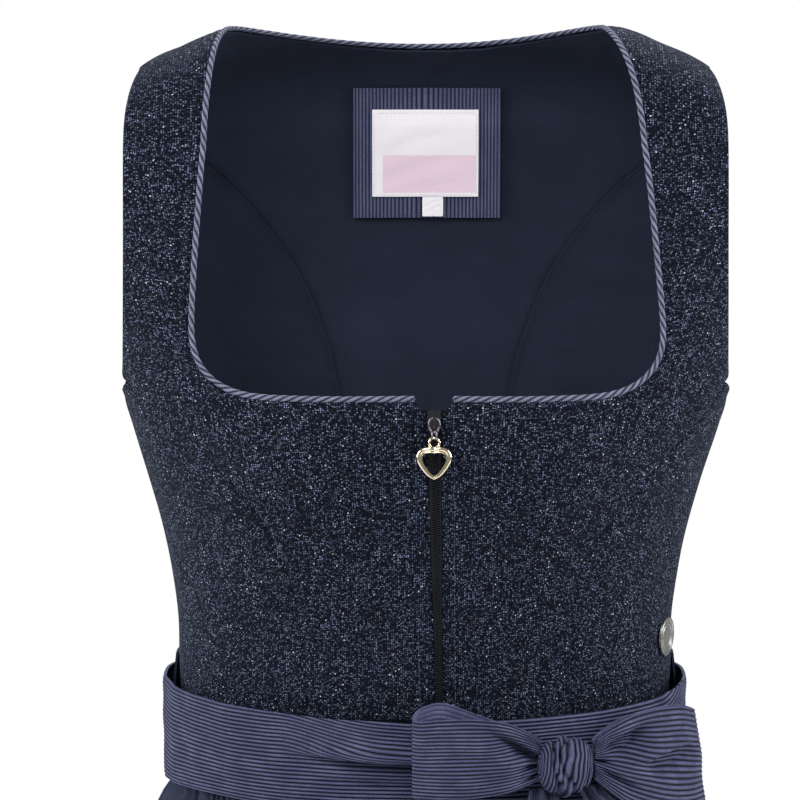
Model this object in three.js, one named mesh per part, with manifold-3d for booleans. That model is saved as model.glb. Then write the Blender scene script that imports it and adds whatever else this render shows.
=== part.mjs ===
// A sleeveless dirndl: a zipped bodice with princess seams, a gathered skirt and a gathered apron whose
// ties end in a bow at the wearer's left front. It is filled out as when worn, hollow, with open neck,
// armholes and hem.
//
// Millimetres, +Z up. The garment faces -Y and the wearer's left is +X. The origin lies between the two
// shoulder seams, level with their tops, where a wearer's shoulders hold the garment up.
import * as THREE from 'three';
import { mergeVertices } from 'three/addons/utils/BufferGeometryUtils.js';
import Module from 'manifold-3d';

const wasm = await Module();
wasm.setup();

// Cloth thicknesses and the gaps that keep sewn pieces apart
const BODICE_CLOTH = 1.4;
const LINING_CLOTH = 1.0;
const SKIRT_CLOTH = 1.2;
const APRON_CLOTH = 1.0;
const BAND_CLOTH = 1.5;
const PATCH_CLOTH = 1.0;
const GAP = 0.3;

// Heights that the pieces share
const WAIST = -345;
const UNDERARM = -190;
const NECKLINE = -177;
const ROLL = -55;
const HEM = -1030;
const APRON_HEM = -985;

// Sides of the body and the power of the rounded oval that every section is
const RIGHT = -1;
const LEFT = 1;
const OVAL = 2.35;
const QUARTER = Math.PI / 2;

// Bodice sections: half breadth to the side seam or armhole edge, depth to the front and to the back
const BODY = [
  { z: -345, half: 127.6, front: 84, back: 78 },
  { z: -330, half: 128.4, front: 84.5, back: 77 },
  { z: -305, half: 129.0, front: 86, back: 76.5 },
  { z: -278, half: 132.7, front: 89, back: 77 },
  { z: -256, half: 137.0, front: 92.5, back: 79 },
  { z: -235, half: 142.6, front: 97, back: 81 },
  { z: -204, half: 152.3, front: 101, back: 84.5 },
  { z: -190, half: 156.2, front: 101, back: 86 },
  { z: -165, half: 154.8, front: 99, back: 88.5 },
  { z: -140, half: 153.8, front: 95, back: 90 },
  { z: -100, half: 153, front: 86, back: 89 },
  { z: -55, half: 153, front: 71, back: 82 },
];

// Top of the shoulder seam, from the neck outwards
const SHOULDER = [
  { x: 0, z: 1.5 },
  { x: 90, z: 0.8 },
  { x: 104, z: -0.5 },
  { x: 125, z: -9.5 },
  { x: 146, z: -20 },
  { x: 157, z: -33 },
];

// Armhole edge: how far it stands to the front and to the back of the side seam, at its widest
const ARMHOLE = { front: 58, back: 65, middle: -100, power: 2.2, topTaper: 8 };

// Bust cups: the cloth's fullness over each side
const BUST = { x: 60, z: -208, spreadX: 44, spreadZ: 40, rise: 9 };

// Centre front line, which leans a little to the wearer's left, and the opening for the zip
const CENTRE_FRONT = [
  { z: -345, x: 7.2, opening: 3.4 },
  { z: -235, x: 4.8, opening: 6.4 },
  { z: -185, x: 4.0, opening: 7.4 },
  { z: -170, x: 3.8, opening: 7.4 },
];
const NOTCH_HALF = 9.1;

// Neckline, the open edge inside the piping: distance from the middle on each side of the wearer
const PIPING = { across: 3, thick: 2.2, sides: 5 };
const NECK_FRONT = [
  { height: NECKLINE, right: 27, left: 32 },
  { height: NECKLINE, right: 46, left: 50 },
  { height: NECKLINE, right: 64, left: 67 },
  { height: NECKLINE, right: 80, left: 82 },
  { height: -176.2, right: 91, left: 93 },
  { height: -173.6, right: 100.5, left: 102.5 },
  { height: -169, right: 108, left: 110 },
  { height: -162, right: 113.5, left: 115.5 },
  { height: -152, right: 116.3, left: 118 },
  { height: -138, right: 116.5, left: 117.5 },
  { height: -121, right: 115.5, left: 115.8 },
  { height: -103, right: 114.3, left: 114 },
  { height: -86, right: 113, left: 112.2 },
  { height: -70, right: 111.8, left: 110.5 },
  { height: -55, right: 110.5, left: 108.5 },
  { height: -44, right: 109.4, left: 106 },
  { height: -33, right: 108, left: 102.8 },
  { height: -22, right: 106.3, left: 98.6 },
  { height: -11, right: 104.2, left: 94 },
  { height: 0, right: 101.5, left: 90.5 },
];
const NECK_BACK_DEPTH = 0.517;

// Front princess seams from the waist to the armhole, by their distance from the middle on each side of
// the wearer, and the stations of the panels on their two sides
const FRONT_SEAM = [
  { right: 60, left: 74.5, height: WAIST, side: WAIST, zip: WAIST },
  { right: 61, left: 74, height: -315, side: -318, zip: -312 },
  { right: 65, left: 74.5, height: -288, side: -294, zip: -280 },
  { right: 73, left: 81, height: -262, side: -270, zip: -252 },
  { right: 84, left: 97, height: -241, side: -250, zip: -230 },
  { right: 99, left: 112.5, height: -222, side: -232, zip: -212 },
  { right: 117, left: 130, height: -205, side: -216, zip: -200 },
  { right: 136, left: 145, height: -191, side: -202, zip: -191 },
  { right: 153, left: 154, height: -179, side: UNDERARM, zip: -186.6 },
];

// Armhole edge above the roll of the shoulder. Below it the edge stands at the bodice's half breadth.
const ARM_TOP = [
  { height: ROLL, x: 153 },
  { height: -44, x: 152.6 },
  { height: -33, x: 151.8 },
  { height: -22, x: 150.4 },
  { height: -11, x: 148.4 },
  { height: 0, x: 146 },
];

// Heights on the armhole edge level with the notch and with each station of the front neckline
const FRONT_ARM = [
  -175, -171, -165, -158, -151, -144, -137, -130, -122, -114, -105, -95, -85, -74, -64, -54, -44, -33, -22,
  -11, 0,
];

// Back princess seam from the waist to the armhole, with the matching middle and side stations
const BACK_SEAM = [
  { x: 37, height: WAIST, middle: WAIST, side: WAIST },
  { x: 38, height: -300, middle: -300, side: -305 },
  { x: 40, height: -255, middle: -255, side: -268 },
  { x: 44, height: -215, middle: -215, side: -235 },
  { x: 50, height: -182, middle: -180, side: -208 },
  { x: 59, height: -155, middle: -148, side: UNDERARM },
  { x: 69, height: -133, middle: -118, side: -170 },
  { x: 84, height: -111, middle: -92, side: -150 },
  { x: 97, height: -95, middle: -72, side: -130 },
  { x: 109, height: -83, middle: -58, side: -110 },
  { x: 122, height: -72, middle: -44, side: -92 },
  { x: 136, height: -62, middle: null, side: -76 },
  { x: 152, height: -55, middle: null, side: -60 },
];

// Back neckline as shares of the way to the neck point, each with its station on the armhole edge
const BACK_NECK = [
  { share: 0.2, arm: -51 },
  { share: 0.4, arm: -46 },
  { share: 0.58, arm: -40 },
  { share: 0.73, arm: -33 },
  { share: 0.85, arm: -25 },
  { share: 0.93, arm: -17 },
  { share: 0.98, arm: -9 },
  { share: 1, arm: 0 },
];

// Striped patch, label and size tab inside the back, by their edges
const PATCH = { from: -38, to: 41, top: -44, bottom: -106, lift: 1.6 };
const LABEL = { from: -28, to: 29, top: -51, bottom: -94, lift: 1.1 };
const SIZE_TAB = { from: -1, to: 10, top: -94.3, bottom: -105 };

// Round badge on the wearer's left side
const BADGE = { turn: 1.26, z: -312, radius: 10, thick: 1.2, rim: 0.5, lift: 0.6 };

// Zip behind the opening, with its slider and hanging pull
const ZIP = { tape: 26, tapeThick: 0.8, top: -184, lift: 1 };
const SLIDER = { wide: 6.6, tall: 12, thick: 2.6, top: -184, bar: 0.7, archTop: -185.2, archFoot: -191.6 };
const LINK = { wide: 6.6, tall: 8.6, bar: 0.65, hinge: -187.2, forward: -106.2 };
const EYE = { deep: 3.4, tall: 5.4, bar: 0.6 };
const HEART = { wide: 18.4, tall: 17.5, hole: 0.6, thick: 2.2, bail: 6.4, bailTall: 4.4, bar: 0.6 };

// Skirt sections: outer base line of the cloth, then the heights of the fine gathers and of the folds
const SKIRT = [
  { z: -1030, half: 262, front: 208, back: 214, power: 2.1, gather: 0, fold: 12, apron: 6.4 },
  { z: -860, half: 240, front: 190, back: 194, power: 2.1, gather: 0, fold: 10, apron: 6.4 },
  { z: -700, half: 214, front: 169, back: 172, power: 2.1, gather: 0.2, fold: 8, apron: 6 },
  { z: -560, half: 185, front: 144, back: 145, power: 2.15, gather: 0.6, fold: 5.5, apron: 5.4 },
  { z: -470, half: 162, front: 122, back: 121, power: 2.2, gather: 0.9, fold: 3.2, apron: 4.8 },
  { z: -425, half: 146.5, front: 106, back: 103, power: 2.3, gather: 1.1, fold: 1.6, apron: 4.2 },
  { z: -404, half: 137.6, front: 96, back: 92, power: 2.35, gather: 1.1, fold: 0.8, apron: 4 },
  { z: -391, half: 131.4, front: 88, back: 82.4, power: 2.35, gather: 0.5, fold: 0, apron: 2.8 },
  { z: -342, half: 131.8, front: 88, back: 82.4, power: 2.35, gather: 0.5, fold: 0, apron: 2.8 },
  { z: -327, half: 130.4, front: 87, back: 81, power: 2.35, gather: 0.4, fold: 0, apron: 2.8 },
];
const SKIRT_BACK_ROWS = [HEM, -800, -600, -470, -410, -391, -340, -327];
const SKIRT_FRONT_ROWS = [HEM, -800, -600, -470, -410, -391, -343];
const APRON_ROWS = [APRON_HEM, -800, -600, -470, -410, -392, -387];
const FOLDS_ROUND = 22;
const GATHERS = { skirtBack: 38, skirtFront: 32, apron: 52, columns: 2 };
const APRON_TURN = 1.16;

// Apron band and the tie that closes it round the back
const BAND = { half: 136.6, front: 93.4, back: 86, power: OVAL };
const BAND_EDGE = { top: -337, drop: 6.5, bottom: -391 };
const BAND_FOLD = { turn: 0.3, spread: 0.3, z: -370, tall: 7, rise: 3.2 };
const BAND_ROWS = 5;
const BAND_COLUMNS = 48;

// Bow: the knot, the loops by stations from the knot out and back, and the tails down the apron
const KNOT = { turn: 0.463, z: -363.5, half: 13.6, tall: 13.6, out: 8.6, deep: 8.2, power: 0.75 };
const LOOP_ACROSS = 5;
const LOOP_RIGHT = [
  { turn: 0.345, out: 4.5, top: -354, bottom: -374, belly: 0, flare: 0 },
  { turn: 0.27, out: 3.6, top: -347, bottom: -379, belly: 0, flare: 0 },
  { turn: 0.15, out: 3.6, top: -340, bottom: -382, belly: 0, flare: 0 },
  { turn: 0.04, out: 3.6, top: -333.5, bottom: -384, belly: 0, flare: 0 },
  { turn: -0.01, out: 4.6, top: -336, bottom: -383, belly: 0, flare: 0 },
  { turn: -0.03, out: 7.4, top: -341, bottom: -381, belly: 0.4, flare: 0 },
  { turn: -0.012, out: 10.6, top: -342, bottom: -380.5, belly: 0.6, flare: 0 },
  { turn: 0.03, out: 13.6, top: -340.5, bottom: -380.5, belly: 1.2, flare: 0 },
  { turn: 0.12, out: 16, top: -339.5, bottom: -380, belly: 1.8, flare: 0 },
  { turn: 0.22, out: 16.4, top: -341.5, bottom: -377.5, belly: 1.8, flare: 0 },
  { turn: 0.3, out: 14.4, top: -347, bottom: -374, belly: 1, flare: 0 },
  { turn: 0.352, out: 12, top: -352, bottom: -372, belly: 0, flare: 0 },
];
const LOOP_LEFT = [
  { turn: 0.575, out: 12, top: -353, bottom: -373, belly: 0, flare: 0 },
  { turn: 0.64, out: 14.5, top: -347, bottom: -381, belly: 0.6, flare: 0 },
  { turn: 0.74, out: 15, top: -342.5, bottom: -390, belly: 1.4, flare: 0 },
  { turn: 0.88, out: 14, top: -341, bottom: -397, belly: 1.8, flare: 2 },
  { turn: 1.04, out: 12.5, top: -343, bottom: -401, belly: 1.6, flare: 4 },
  { turn: 1.18, out: 10.6, top: -347, bottom: -402.5, belly: 1, flare: 5.5 },
  { turn: 1.265, out: 8.6, top: -349.5, bottom: -403, belly: 0.4, flare: 6.5 },
  { turn: 1.29, out: 6.6, top: -349.5, bottom: -402.5, belly: 0, flare: 7 },
  { turn: 1.26, out: 4.6, top: -348, bottom: -389, belly: 0, flare: 0 },
  { turn: 1.15, out: 3.8, top: -345, bottom: -388.5, belly: 0, flare: 0 },
  { turn: 0.95, out: 3.6, top: -343, bottom: -388, belly: 0, flare: 0 },
  { turn: 0.76, out: 3.6, top: -345, bottom: -384, belly: 0, flare: 0 },
  { turn: 0.64, out: 4, top: -350, bottom: -378, belly: 0, flare: 0 },
  { turn: 0.585, out: 4.5, top: -355, bottom: -374, belly: 0, flare: 0 },
];
const TAIL_COLUMNS = 5;
const TAIL_RIGHT = [
  { z: -377.6, middle: 58, half: 7, out: 9 },
  { z: -391.5, middle: 56, half: 9, out: 16 },
  { z: -410, middle: 55, half: 12, out: 13 },
  { z: -450, middle: 56, half: 17, out: 13 },
  { z: -520, middle: 60, half: 21, out: 16 },
  { z: -620, middle: 66, half: 24, out: 19 },
  { z: -720, middle: 72, half: 26, out: 21 },
  { z: -800, middle: 76, half: 27, out: 23 },
];
const TAIL_LEFT = [
  { z: -377.6, middle: 81, half: 6, out: 8.4 },
  { z: -391.5, middle: 88, half: 9, out: 14.4 },
  { z: -412, middle: 96, half: 13, out: 12.6 },
  { z: -450, middle: 106, half: 18, out: 13 },
  { z: -520, middle: 118, half: 22, out: 16 },
  { z: -620, middle: 132, half: 25, out: 19 },
  { z: -700, middle: 142, half: 27, out: 21 },
  { z: -770, middle: 150, half: 28, out: 23 },
];
const TAIL_SLANT = 16;
const TAIL_WAVE = 2.2;

// Finishes
const finish = (color, roughness, metalness = 0) => (
  new THREE.MeshStandardMaterial({ color, roughness, metalness })
);
const FINISH = {
  glitter: finish(0x2f3650, 0.55),
  lining: finish(0x262c3c, 0.85),
  ribbed: finish(0x484d6e, 0.7),
  skirt: finish(0x323a4e, 0.75),
  piping: finish(0x4b4f6a, 0.7),
  zip: finish(0x16171c, 0.6),
  slider: finish(0x111114, 0.35, 0.8),
  gold: finish(0xd2b27a, 0.25, 1),
  silver: finish(0x8f8f8c, 0.35, 1),
  label: finish(0xeee6ee, 0.8),
};

// Value at a place along a table, on a smooth curve through its rows
function along(table, place, at, key) {
  const last = table.length - 1;
  const rising = table[last][place] > table[0][place];
  const rows = rising ? table : [...table].reverse();
  const spot = Math.min(Math.max(at, rows[0][place]), rows[last][place]);
  let i = 0;
  while (i < last - 1 && spot > rows[i + 1][place]) {
    i += 1;
  }
  const slope = (k) => {
    const low = rows[Math.max(k - 1, 0)];
    const high = rows[Math.min(k + 1, last)];
    return (high[key] - low[key]) / (high[place] - low[place]);
  };
  const span = rows[i + 1][place] - rows[i][place];
  const t = (spot - rows[i][place]) / span;
  const rise = t * t * (3 - 2 * t);
  const start = rows[i][key] * (1 - rise) + t * (1 - t) * (1 - t) * span * slope(i);
  return start + rows[i + 1][key] * rise - t * t * (1 - t) * span * slope(i + 1);
}

const signedPower = (value, power) => Math.sign(value) * Math.abs(value) ** power;

// Distance of the armhole edge in front of or behind the side seam
function armholeReach(widest, z) {
  if (z <= UNDERARM) {
    return 0;
  }
  if (z < ARMHOLE.middle) {
    const share = (ARMHOLE.middle - z) / (ARMHOLE.middle - UNDERARM);
    return widest * (1 - share ** ARMHOLE.power) ** (1 / ARMHOLE.power);
  }
  const share = (z - ARMHOLE.middle) / (ROLL - ARMHOLE.middle);
  return widest - ARMHOLE.topTaper * share * share;
}

// Oval of the bodice at a height: how wide it would be with no armhole, and how deep
function bodySection(isBack, height) {
  const z = Math.min(height, ROLL);
  const depth = along(BODY, 'z', z, isBack ? 'back' : 'front');
  const reach = armholeReach(isBack ? ARMHOLE.back : ARMHOLE.front, z);
  const half = along(BODY, 'z', z, 'half');
  const wide = half / (1 - (reach / depth) ** OVAL) ** (1 / OVAL);
  return { z, depth, wide };
}

function bustRise(x, z) {
  const acrossShare = (Math.abs(x) - BUST.x) / BUST.spreadX;
  const heightShare = (z - BUST.z) / BUST.spreadZ;
  return BUST.rise * Math.exp(-(acrossShare ** 2) - heightShare ** 2);
}

// Point on the bodice's outer face. Turn runs from the front centre round the wearer's left to the back
// centre at half a turn. Above ROLL the cloth turns over the shoulder and height counts up to the seam.
function bodyPoint(turn, height) {
  const wrapped = turn - 2 * Math.PI * Math.round(turn / (2 * Math.PI));
  const side = Math.sign(wrapped);
  const isBack = Math.abs(wrapped) > QUARTER;
  const angle = isBack ? Math.PI - Math.abs(wrapped) : Math.abs(wrapped);
  const section = bodySection(isBack, height);
  const x = section.wide * Math.max(Math.sin(angle), 0) ** (2 / OVAL);
  const oval = section.depth * Math.max(Math.cos(angle), 0) ** (2 / OVAL);
  const depth = isBack ? oval : -(oval + bustRise(x, section.z));
  if (height <= ROLL) {
    return new THREE.Vector3(side * x, depth, height);
  }
  const left = height / ROLL;
  const top = along(SHOULDER, 'x', x, 'z');
  const y = depth * (1 - (1 - left) ** 2);
  return new THREE.Vector3(side * x, y, top + (ROLL - top) * left * left);
}

// Point moved out from the bodice's face by a distance
function offBody(turn, height, distance) {
  const step = 1e-3;
  const point = bodyPoint(turn, height);
  const lower = Math.min(height, -step);
  const alongTurn = bodyPoint(turn + step, lower).sub(bodyPoint(turn - step, lower));
  const alongHeight = bodyPoint(turn, lower + step).sub(bodyPoint(turn, lower - step));
  return point.addScaledVector(alongTurn.cross(alongHeight).normalize(), distance);
}

// Turn at which the bodice has a given distance from the middle
function turnAt(isBack, side, x, height) {
  const section = bodySection(isBack, height);
  const angle = Math.asin(Math.min(Math.abs(x) / section.wide, 1) ** (OVAL / 2));
  const turn = isBack ? Math.PI - angle : angle;
  return side * Math.sign(x || 1) * turn;
}

// Turn of a side seam, a little in front of it or behind it
function sideSeam(isBack, side, height) {
  const section = bodySection(isBack, height);
  const angle = Math.acos((GAP / 2 / section.depth) ** (OVAL / 2));
  return side * (isBack ? Math.PI - angle : angle);
}

// Solid from triangles on an outer skin, its copy on the inner skin, and strips along the open edges
function closeWall(outer, inner, faces) {
  const count = outer.length;
  const points = [...outer, ...inner];
  const triangles = [];
  const edges = new Map();
  for (const [a, b, c] of faces) {
    triangles.push([a, b, c], [c + count, b + count, a + count]);
    for (const [from, to] of [[a, b], [b, c], [c, a]]) {
      edges.set(`${from} ${to}`, [from, to]);
    }
  }
  for (const [from, to] of edges.values()) {
    if (!edges.has(`${to} ${from}`)) {
      triangles.push([to, from, from + count], [to, from + count, to + count]);
    }
  }
  return solid(points, triangles);
}

// Geometry from points and triangles, turned inside out if its volume comes out negative
function solid(points, triangles) {
  let volume = 0;
  for (const [a, b, c] of triangles) {
    volume += points[a].dot(new THREE.Vector3().crossVectors(points[b], points[c]));
  }
  const geometry = new THREE.BufferGeometry();
  geometry.setAttribute('position', new THREE.Float32BufferAttribute(points.flatMap((p) => [p.x, p.y, p.z]), 3));
  geometry.setIndex(triangles.flatMap(([a, b, c]) => (volume < 0 ? [a, c, b] : [a, b, c])));
  return geometry;
}

// Wall over patches of the bodice. A patch is rows of [turn, height], and patches share equal points.
function bodySheet(patches, outerLift, innerLift) {
  const outer = [];
  const inner = [];
  const faces = [];
  const known = new Map();
  const indexOf = ([turn, height]) => {
    const place = bodyPoint(turn, height);
    const key = place.toArray().map((v) => v.toFixed(3)).join(' ');
    if (!known.has(key)) {
      known.set(key, outer.length);
      outer.push(offBody(turn, height, outerLift));
      inner.push(offBody(turn, height, innerLift));
    }
    return known.get(key);
  };
  for (const rows of patches) {
    const flip = rows[0][0][0] > rows[0].at(-1)[0];
    for (let i = 0; i + 1 < rows.length; i += 1) {
      for (let j = 0; j + 1 < rows[i].length; j += 1) {
        const [a, b, c, d] = [rows[i][j], rows[i][j + 1], rows[i + 1][j + 1], rows[i + 1][j]].map(indexOf);
        for (const face of [[a, b, c], [a, c, d]]) {
          if (new Set(face).size === 3) {
            faces.push(flip ? [...face].reverse() : face);
          }
        }
      }
    }
  }
  return closeWall(outer, inner, faces);
}

// Rows of [turn, height] between two boundary lines with equally many stations
function between(first, second, columns) {
  return first.map(([turn, height], i) => (
    Array.from({ length: columns + 1 }, (_, j) => {
      const share = j / columns;
      return [turn + (second[i][0] - turn) * share, height + (second[i][1] - height) * share];
    })
  ));
}

// Seam stations stop this far under the shoulder seam, which leaves the gap between front and back
const SEAM_STOP = -0.066;
const seamHeight = (height) => Math.min(height, SEAM_STOP);
const toTurns = (isBack, side, line) => (
  line.map(({ x, height }) => [turnAt(isBack, side, x, height), seamHeight(height)])
);

// Armhole edge as [turn, height] stations
function armEdge(isBack, side, heights) {
  const edge = heights.map((height) => ({
    x: height <= ROLL ? along(BODY, 'z', height, 'half') : along(ARM_TOP, 'height', height, 'x'),
    height,
  }));
  return toTurns(isBack, side, edge);
}

// Line of [turn, height] stations moved sideways over the body, to the left of travel seen from outside
function beside(line, distance) {
  const step = 1e-3;
  const points = line.map(([turn, height]) => bodyPoint(turn, height));
  return line.map(([turn, height], i) => {
    const lower = Math.min(height, -step);
    const perTurn = bodyPoint(turn + step, lower).sub(bodyPoint(turn - step, lower)).divideScalar(2 * step);
    const perHeight = bodyPoint(turn, lower + step).sub(bodyPoint(turn, lower - step)).divideScalar(2 * step);
    const out = perTurn.clone().cross(perHeight).normalize();
    const travel = points[Math.min(i + 1, line.length - 1)].clone().sub(points[Math.max(i - 1, 0)]);
    const move = out.cross(travel).normalize().multiplyScalar(distance);
    const [e, f, g] = [perTurn.dot(perTurn), perTurn.dot(perHeight), perHeight.dot(perHeight)];
    const [u, v] = [move.dot(perTurn), move.dot(perHeight)];
    const scale = e * g - f * f;
    return [turn + (g * u - f * v) / scale, seamHeight(height + (e * v - f * u) / scale)];
  });
}

const sideName = (side) => (side === LEFT ? 'left' : 'right');

// Neckline edge of the front from the notch to the shoulder, on one side of the wearer
function frontNeck(side) {
  const notch = side * along(CENTRE_FRONT, 'z', NECKLINE, 'x') + NOTCH_HALF;
  return [
    { x: notch, height: NECKLINE },
    ...NECK_FRONT.map((row) => ({ x: row[sideName(side)], height: row.height })),
  ];
}

function neckPoint(side) {
  return NECK_FRONT.at(-1)[sideName(side)];
}

// Height of the back neckline at a share of the way from the middle to the neck point
function backNeckHeight(share) {
  const rise = NECK_BACK_DEPTH + (1 - NECK_BACK_DEPTH) * (1 - Math.sqrt(1 - share * share));
  return ROLL * (1 - rise);
}

const PIPING_ROOM = PIPING.across + GAP;

function frontSeam(side) {
  return toTurns(false, side, FRONT_SEAM.map((row) => ({ x: row[sideName(side)], height: row.height })));
}

function frontCentre(side) {
  const zipEdge = FRONT_SEAM.map(({ zip }) => {
    const middle = side * along(CENTRE_FRONT, 'z', zip, 'x');
    return { x: middle + along(CENTRE_FRONT, 'z', zip, 'opening') / 2, height: zip };
  });
  const neck = beside(toTurns(false, side, frontNeck(side)), -side * PIPING_ROOM);
  const seam = beside(frontSeam(side), side * GAP / 2);
  const arm = armEdge(false, side, FRONT_ARM);
  const inner = [...toTurns(false, side, zipEdge), ...neck];
  return bodySheet([between(inner, [...seam, ...arm], 4)], 0, -BODICE_CLOTH);
}

function frontSide(side) {
  const seam = beside(frontSeam(side), -side * GAP / 2);
  const outer = FRONT_SEAM.map((row) => [sideSeam(false, side, row.side), row.side]);
  return bodySheet([between(seam, outer, 5)], 0, -BODICE_CLOTH);
}

// Back neckline of one side as [turn, height] stations from the middle to the neck point
function backNeck(side) {
  const shares = [0, ...BACK_NECK.map(({ share }) => share)];
  return shares.map((share) => {
    const height = seamHeight(backNeckHeight(share));
    return [turnAt(true, side, neckPoint(side) * share, height), height];
  });
}

// Back neckline from neck point to neck point, moved away from the opening by a distance
function backNeckBeside(distance) {
  const whole = [...backNeck(RIGHT).reverse().slice(0, -1), ...backNeck(LEFT)].map(([turn, height]) => (
    [turn < 0 ? turn + 2 * Math.PI : turn, height]
  ));
  return beside(whole, distance);
}

// Patches of the back centre panel: each half fans from the middle and the neckline to seam and armhole
function backCentrePatches() {
  const edge = backNeckBeside(PIPING_ROOM);
  const half = BACK_NECK.length;
  return [RIGHT, LEFT].map((side) => {
    const seam = beside(toTurns(true, side, BACK_SEAM), -side * GAP / 2);
    const neck = side === RIGHT ? edge.slice(0, half + 1).reverse() : edge.slice(half);
    const turned = neck.map(([turn, height]) => [side === RIGHT ? turn - 2 * Math.PI : turn, height]);
    turned[0][0] = side * Math.PI;
    const middle = BACK_SEAM.slice(0, -2).map((row) => [side * Math.PI, row.middle]);
    const arm = armEdge(true, side, BACK_NECK.map((row) => row.arm));
    return between([...middle, ...turned], [...seam.slice(0, -1), ...arm], 4);
  });
}

function backSidePatches(side) {
  const seam = beside(toTurns(true, side, BACK_SEAM), side * GAP / 2);
  const outer = BACK_SEAM.map((row) => (
    row.side <= UNDERARM ? [sideSeam(true, side, row.side), row.side] : armEdge(true, side, [row.side])[0]
  ));
  return [between(seam, outer, 4)];
}

// Tube of an oval section along a path of { point, across, out } stations
function sweep(stations, acrossRadius, outRadius, sides) {
  const points = [];
  const triangles = [];
  for (const { point, across, out } of stations) {
    for (let k = 0; k < sides; k += 1) {
      const angle = 2 * Math.PI * k / sides;
      points.push(point.clone()
        .addScaledVector(across, acrossRadius * Math.cos(angle))
        .addScaledVector(out, outRadius * Math.sin(angle)));
    }
  }
  for (let i = 0; i + 1 < stations.length; i += 1) {
    for (let k = 0; k < sides; k += 1) {
      const a = i * sides + k;
      const b = i * sides + (k + 1) % sides;
      triangles.push([a, b, b + sides], [a, b + sides, a + sides]);
    }
  }
  const end = (stations.length - 1) * sides;
  for (let k = 1; k + 1 < sides; k += 1) {
    triangles.push([0, k + 1, k], [end, end + k, end + k + 1]);
  }
  return solid(points, triangles);
}

// Piping along a line of [turn, height] stations, level with the middle of the panel's cloth
function pipingAlong(line) {
  const middles = line.map(([turn, height]) => offBody(turn, height, -BODICE_CLOTH / 2));
  const stations = middles.map((point, i) => {
    const [turn, height] = line[i];
    const out = offBody(turn, height, 1).sub(bodyPoint(turn, height));
    const travel = middles[Math.min(i + 1, line.length - 1)].clone().sub(middles[Math.max(i - 1, 0)]);
    return { point, out, across: travel.cross(out).normalize() };
  });
  return sweep(stations, PIPING.across / 2, PIPING.thick / 2, PIPING.sides);
}

const frontPiping = (side) => (
  pipingAlong(beside(toTurns(false, side, frontNeck(side)), -side * PIPING.across / 2))
);

// Flat piece inside the back, by its edges, between two distances from the bodice's face
function insideBack({ from, to, top, bottom }, outerLift, innerLift, columns, rows) {
  const line = (x) => Array.from({ length: rows + 1 }, (_, i) => {
    const height = bottom + (top - bottom) * i / rows;
    const turn = turnAt(true, LEFT, x, height);
    return [turn < 0 ? turn + 2 * Math.PI : turn, height];
  });
  return bodySheet([between(line(to), line(from), columns)], outerLift, innerLift);
}

// Strip behind or in the front opening up to a height, with its breadth at each height
function zipStrip(breadthAt, top, outerLift, innerLift) {
  const heights = [...FRONT_SEAM.map(({ zip }) => zip).filter((zip) => zip < top - 1), top];
  const line = (edge) => heights.map((height) => {
    const x = along(CENTRE_FRONT, 'z', height, 'x') + edge * breadthAt(height) / 2;
    return [turnAt(false, LEFT, x, height), height];
  });
  return bodySheet([between(line(-1), line(1), 2)], outerLift, innerLift);
}

// Zip: a tape behind the opening, and the chain of coils that stands up from it between the edges
function zipShape() {
  const tapeFace = -BODICE_CLOTH - ZIP.lift;
  const openingAt = (height) => along(CENTRE_FRONT, 'z', height, 'opening') - 2 * GAP;
  const tape = zipStrip(() => ZIP.tape, ZIP.top, tapeFace, tapeFace - ZIP.tapeThick);
  const chainTop = SLIDER.top - SLIDER.tall - GAP;
  const chain = zipStrip(openingAt, chainTop, -GAP, tapeFace - ZIP.tapeThick / 2);
  return join(tape, chain);
}

// Closed ring of round bar along a loop of points, each ring section square to the loop
function barRing(loop, plane, radius, sides = 6) {
  const count = loop.length;
  const points = [];
  const triangles = [];
  for (let i = 0; i < count; i += 1) {
    const travel = loop[(i + 1) % count].clone().sub(loop[(i + count - 1) % count]).normalize();
    const across = travel.clone().cross(plane).normalize();
    for (let k = 0; k < sides; k += 1) {
      const angle = 2 * Math.PI * k / sides;
      points.push(loop[i].clone()
        .addScaledVector(across, radius * Math.cos(angle))
        .addScaledVector(plane, radius * Math.sin(angle)));
    }
  }
  for (let i = 0; i < count; i += 1) {
    for (let k = 0; k < sides; k += 1) {
      const next = (k + 1) % sides;
      const [a, b] = [i * sides + k, i * sides + next];
      const [c, d] = [(i + 1) % count * sides + next, (i + 1) % count * sides + k];
      triangles.push([a, b, c], [a, c, d]);
    }
  }
  return solid(points, triangles);
}

// Loop of points round a stadium, upright or flat, whose bar centres measure wide by tall
function stadium(wide, tall, steps, place) {
  const radius = Math.min(wide, tall) / 2;
  const reachAcross = wide / 2 - radius;
  const reachUp = tall / 2 - radius;
  return Array.from({ length: steps }, (_, i) => {
    const angle = 2 * Math.PI * (i + 0.5) / steps;
    const across = Math.sign(Math.cos(angle)) * reachAcross + radius * Math.cos(angle);
    const up = Math.sign(Math.sin(angle)) * reachUp + radius * Math.sin(angle);
    return place(across, up);
  });
}

function toManifold(geometry) {
  const bare = geometry.clone();
  bare.deleteAttribute('normal');
  bare.deleteAttribute('uv');
  const merged = mergeVertices(bare, 1e-4);
  return new wasm.Manifold(new wasm.Mesh({
    numProp: 3,
    vertProperties: new Float32Array(merged.attributes.position.array),
    triVerts: new Uint32Array(merged.index.array),
  }));
}

function fromManifold(shape) {
  const mesh = shape.getMesh();
  const geometry = new THREE.BufferGeometry();
  geometry.setAttribute('position', new THREE.BufferAttribute(mesh.vertProperties, 3));
  geometry.setIndex(new THREE.BufferAttribute(mesh.triVerts, 1));
  return geometry;
}

const join = (...pieces) => fromManifold(pieces.map(toManifold).reduce((all, piece) => all.add(piece)));

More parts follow.
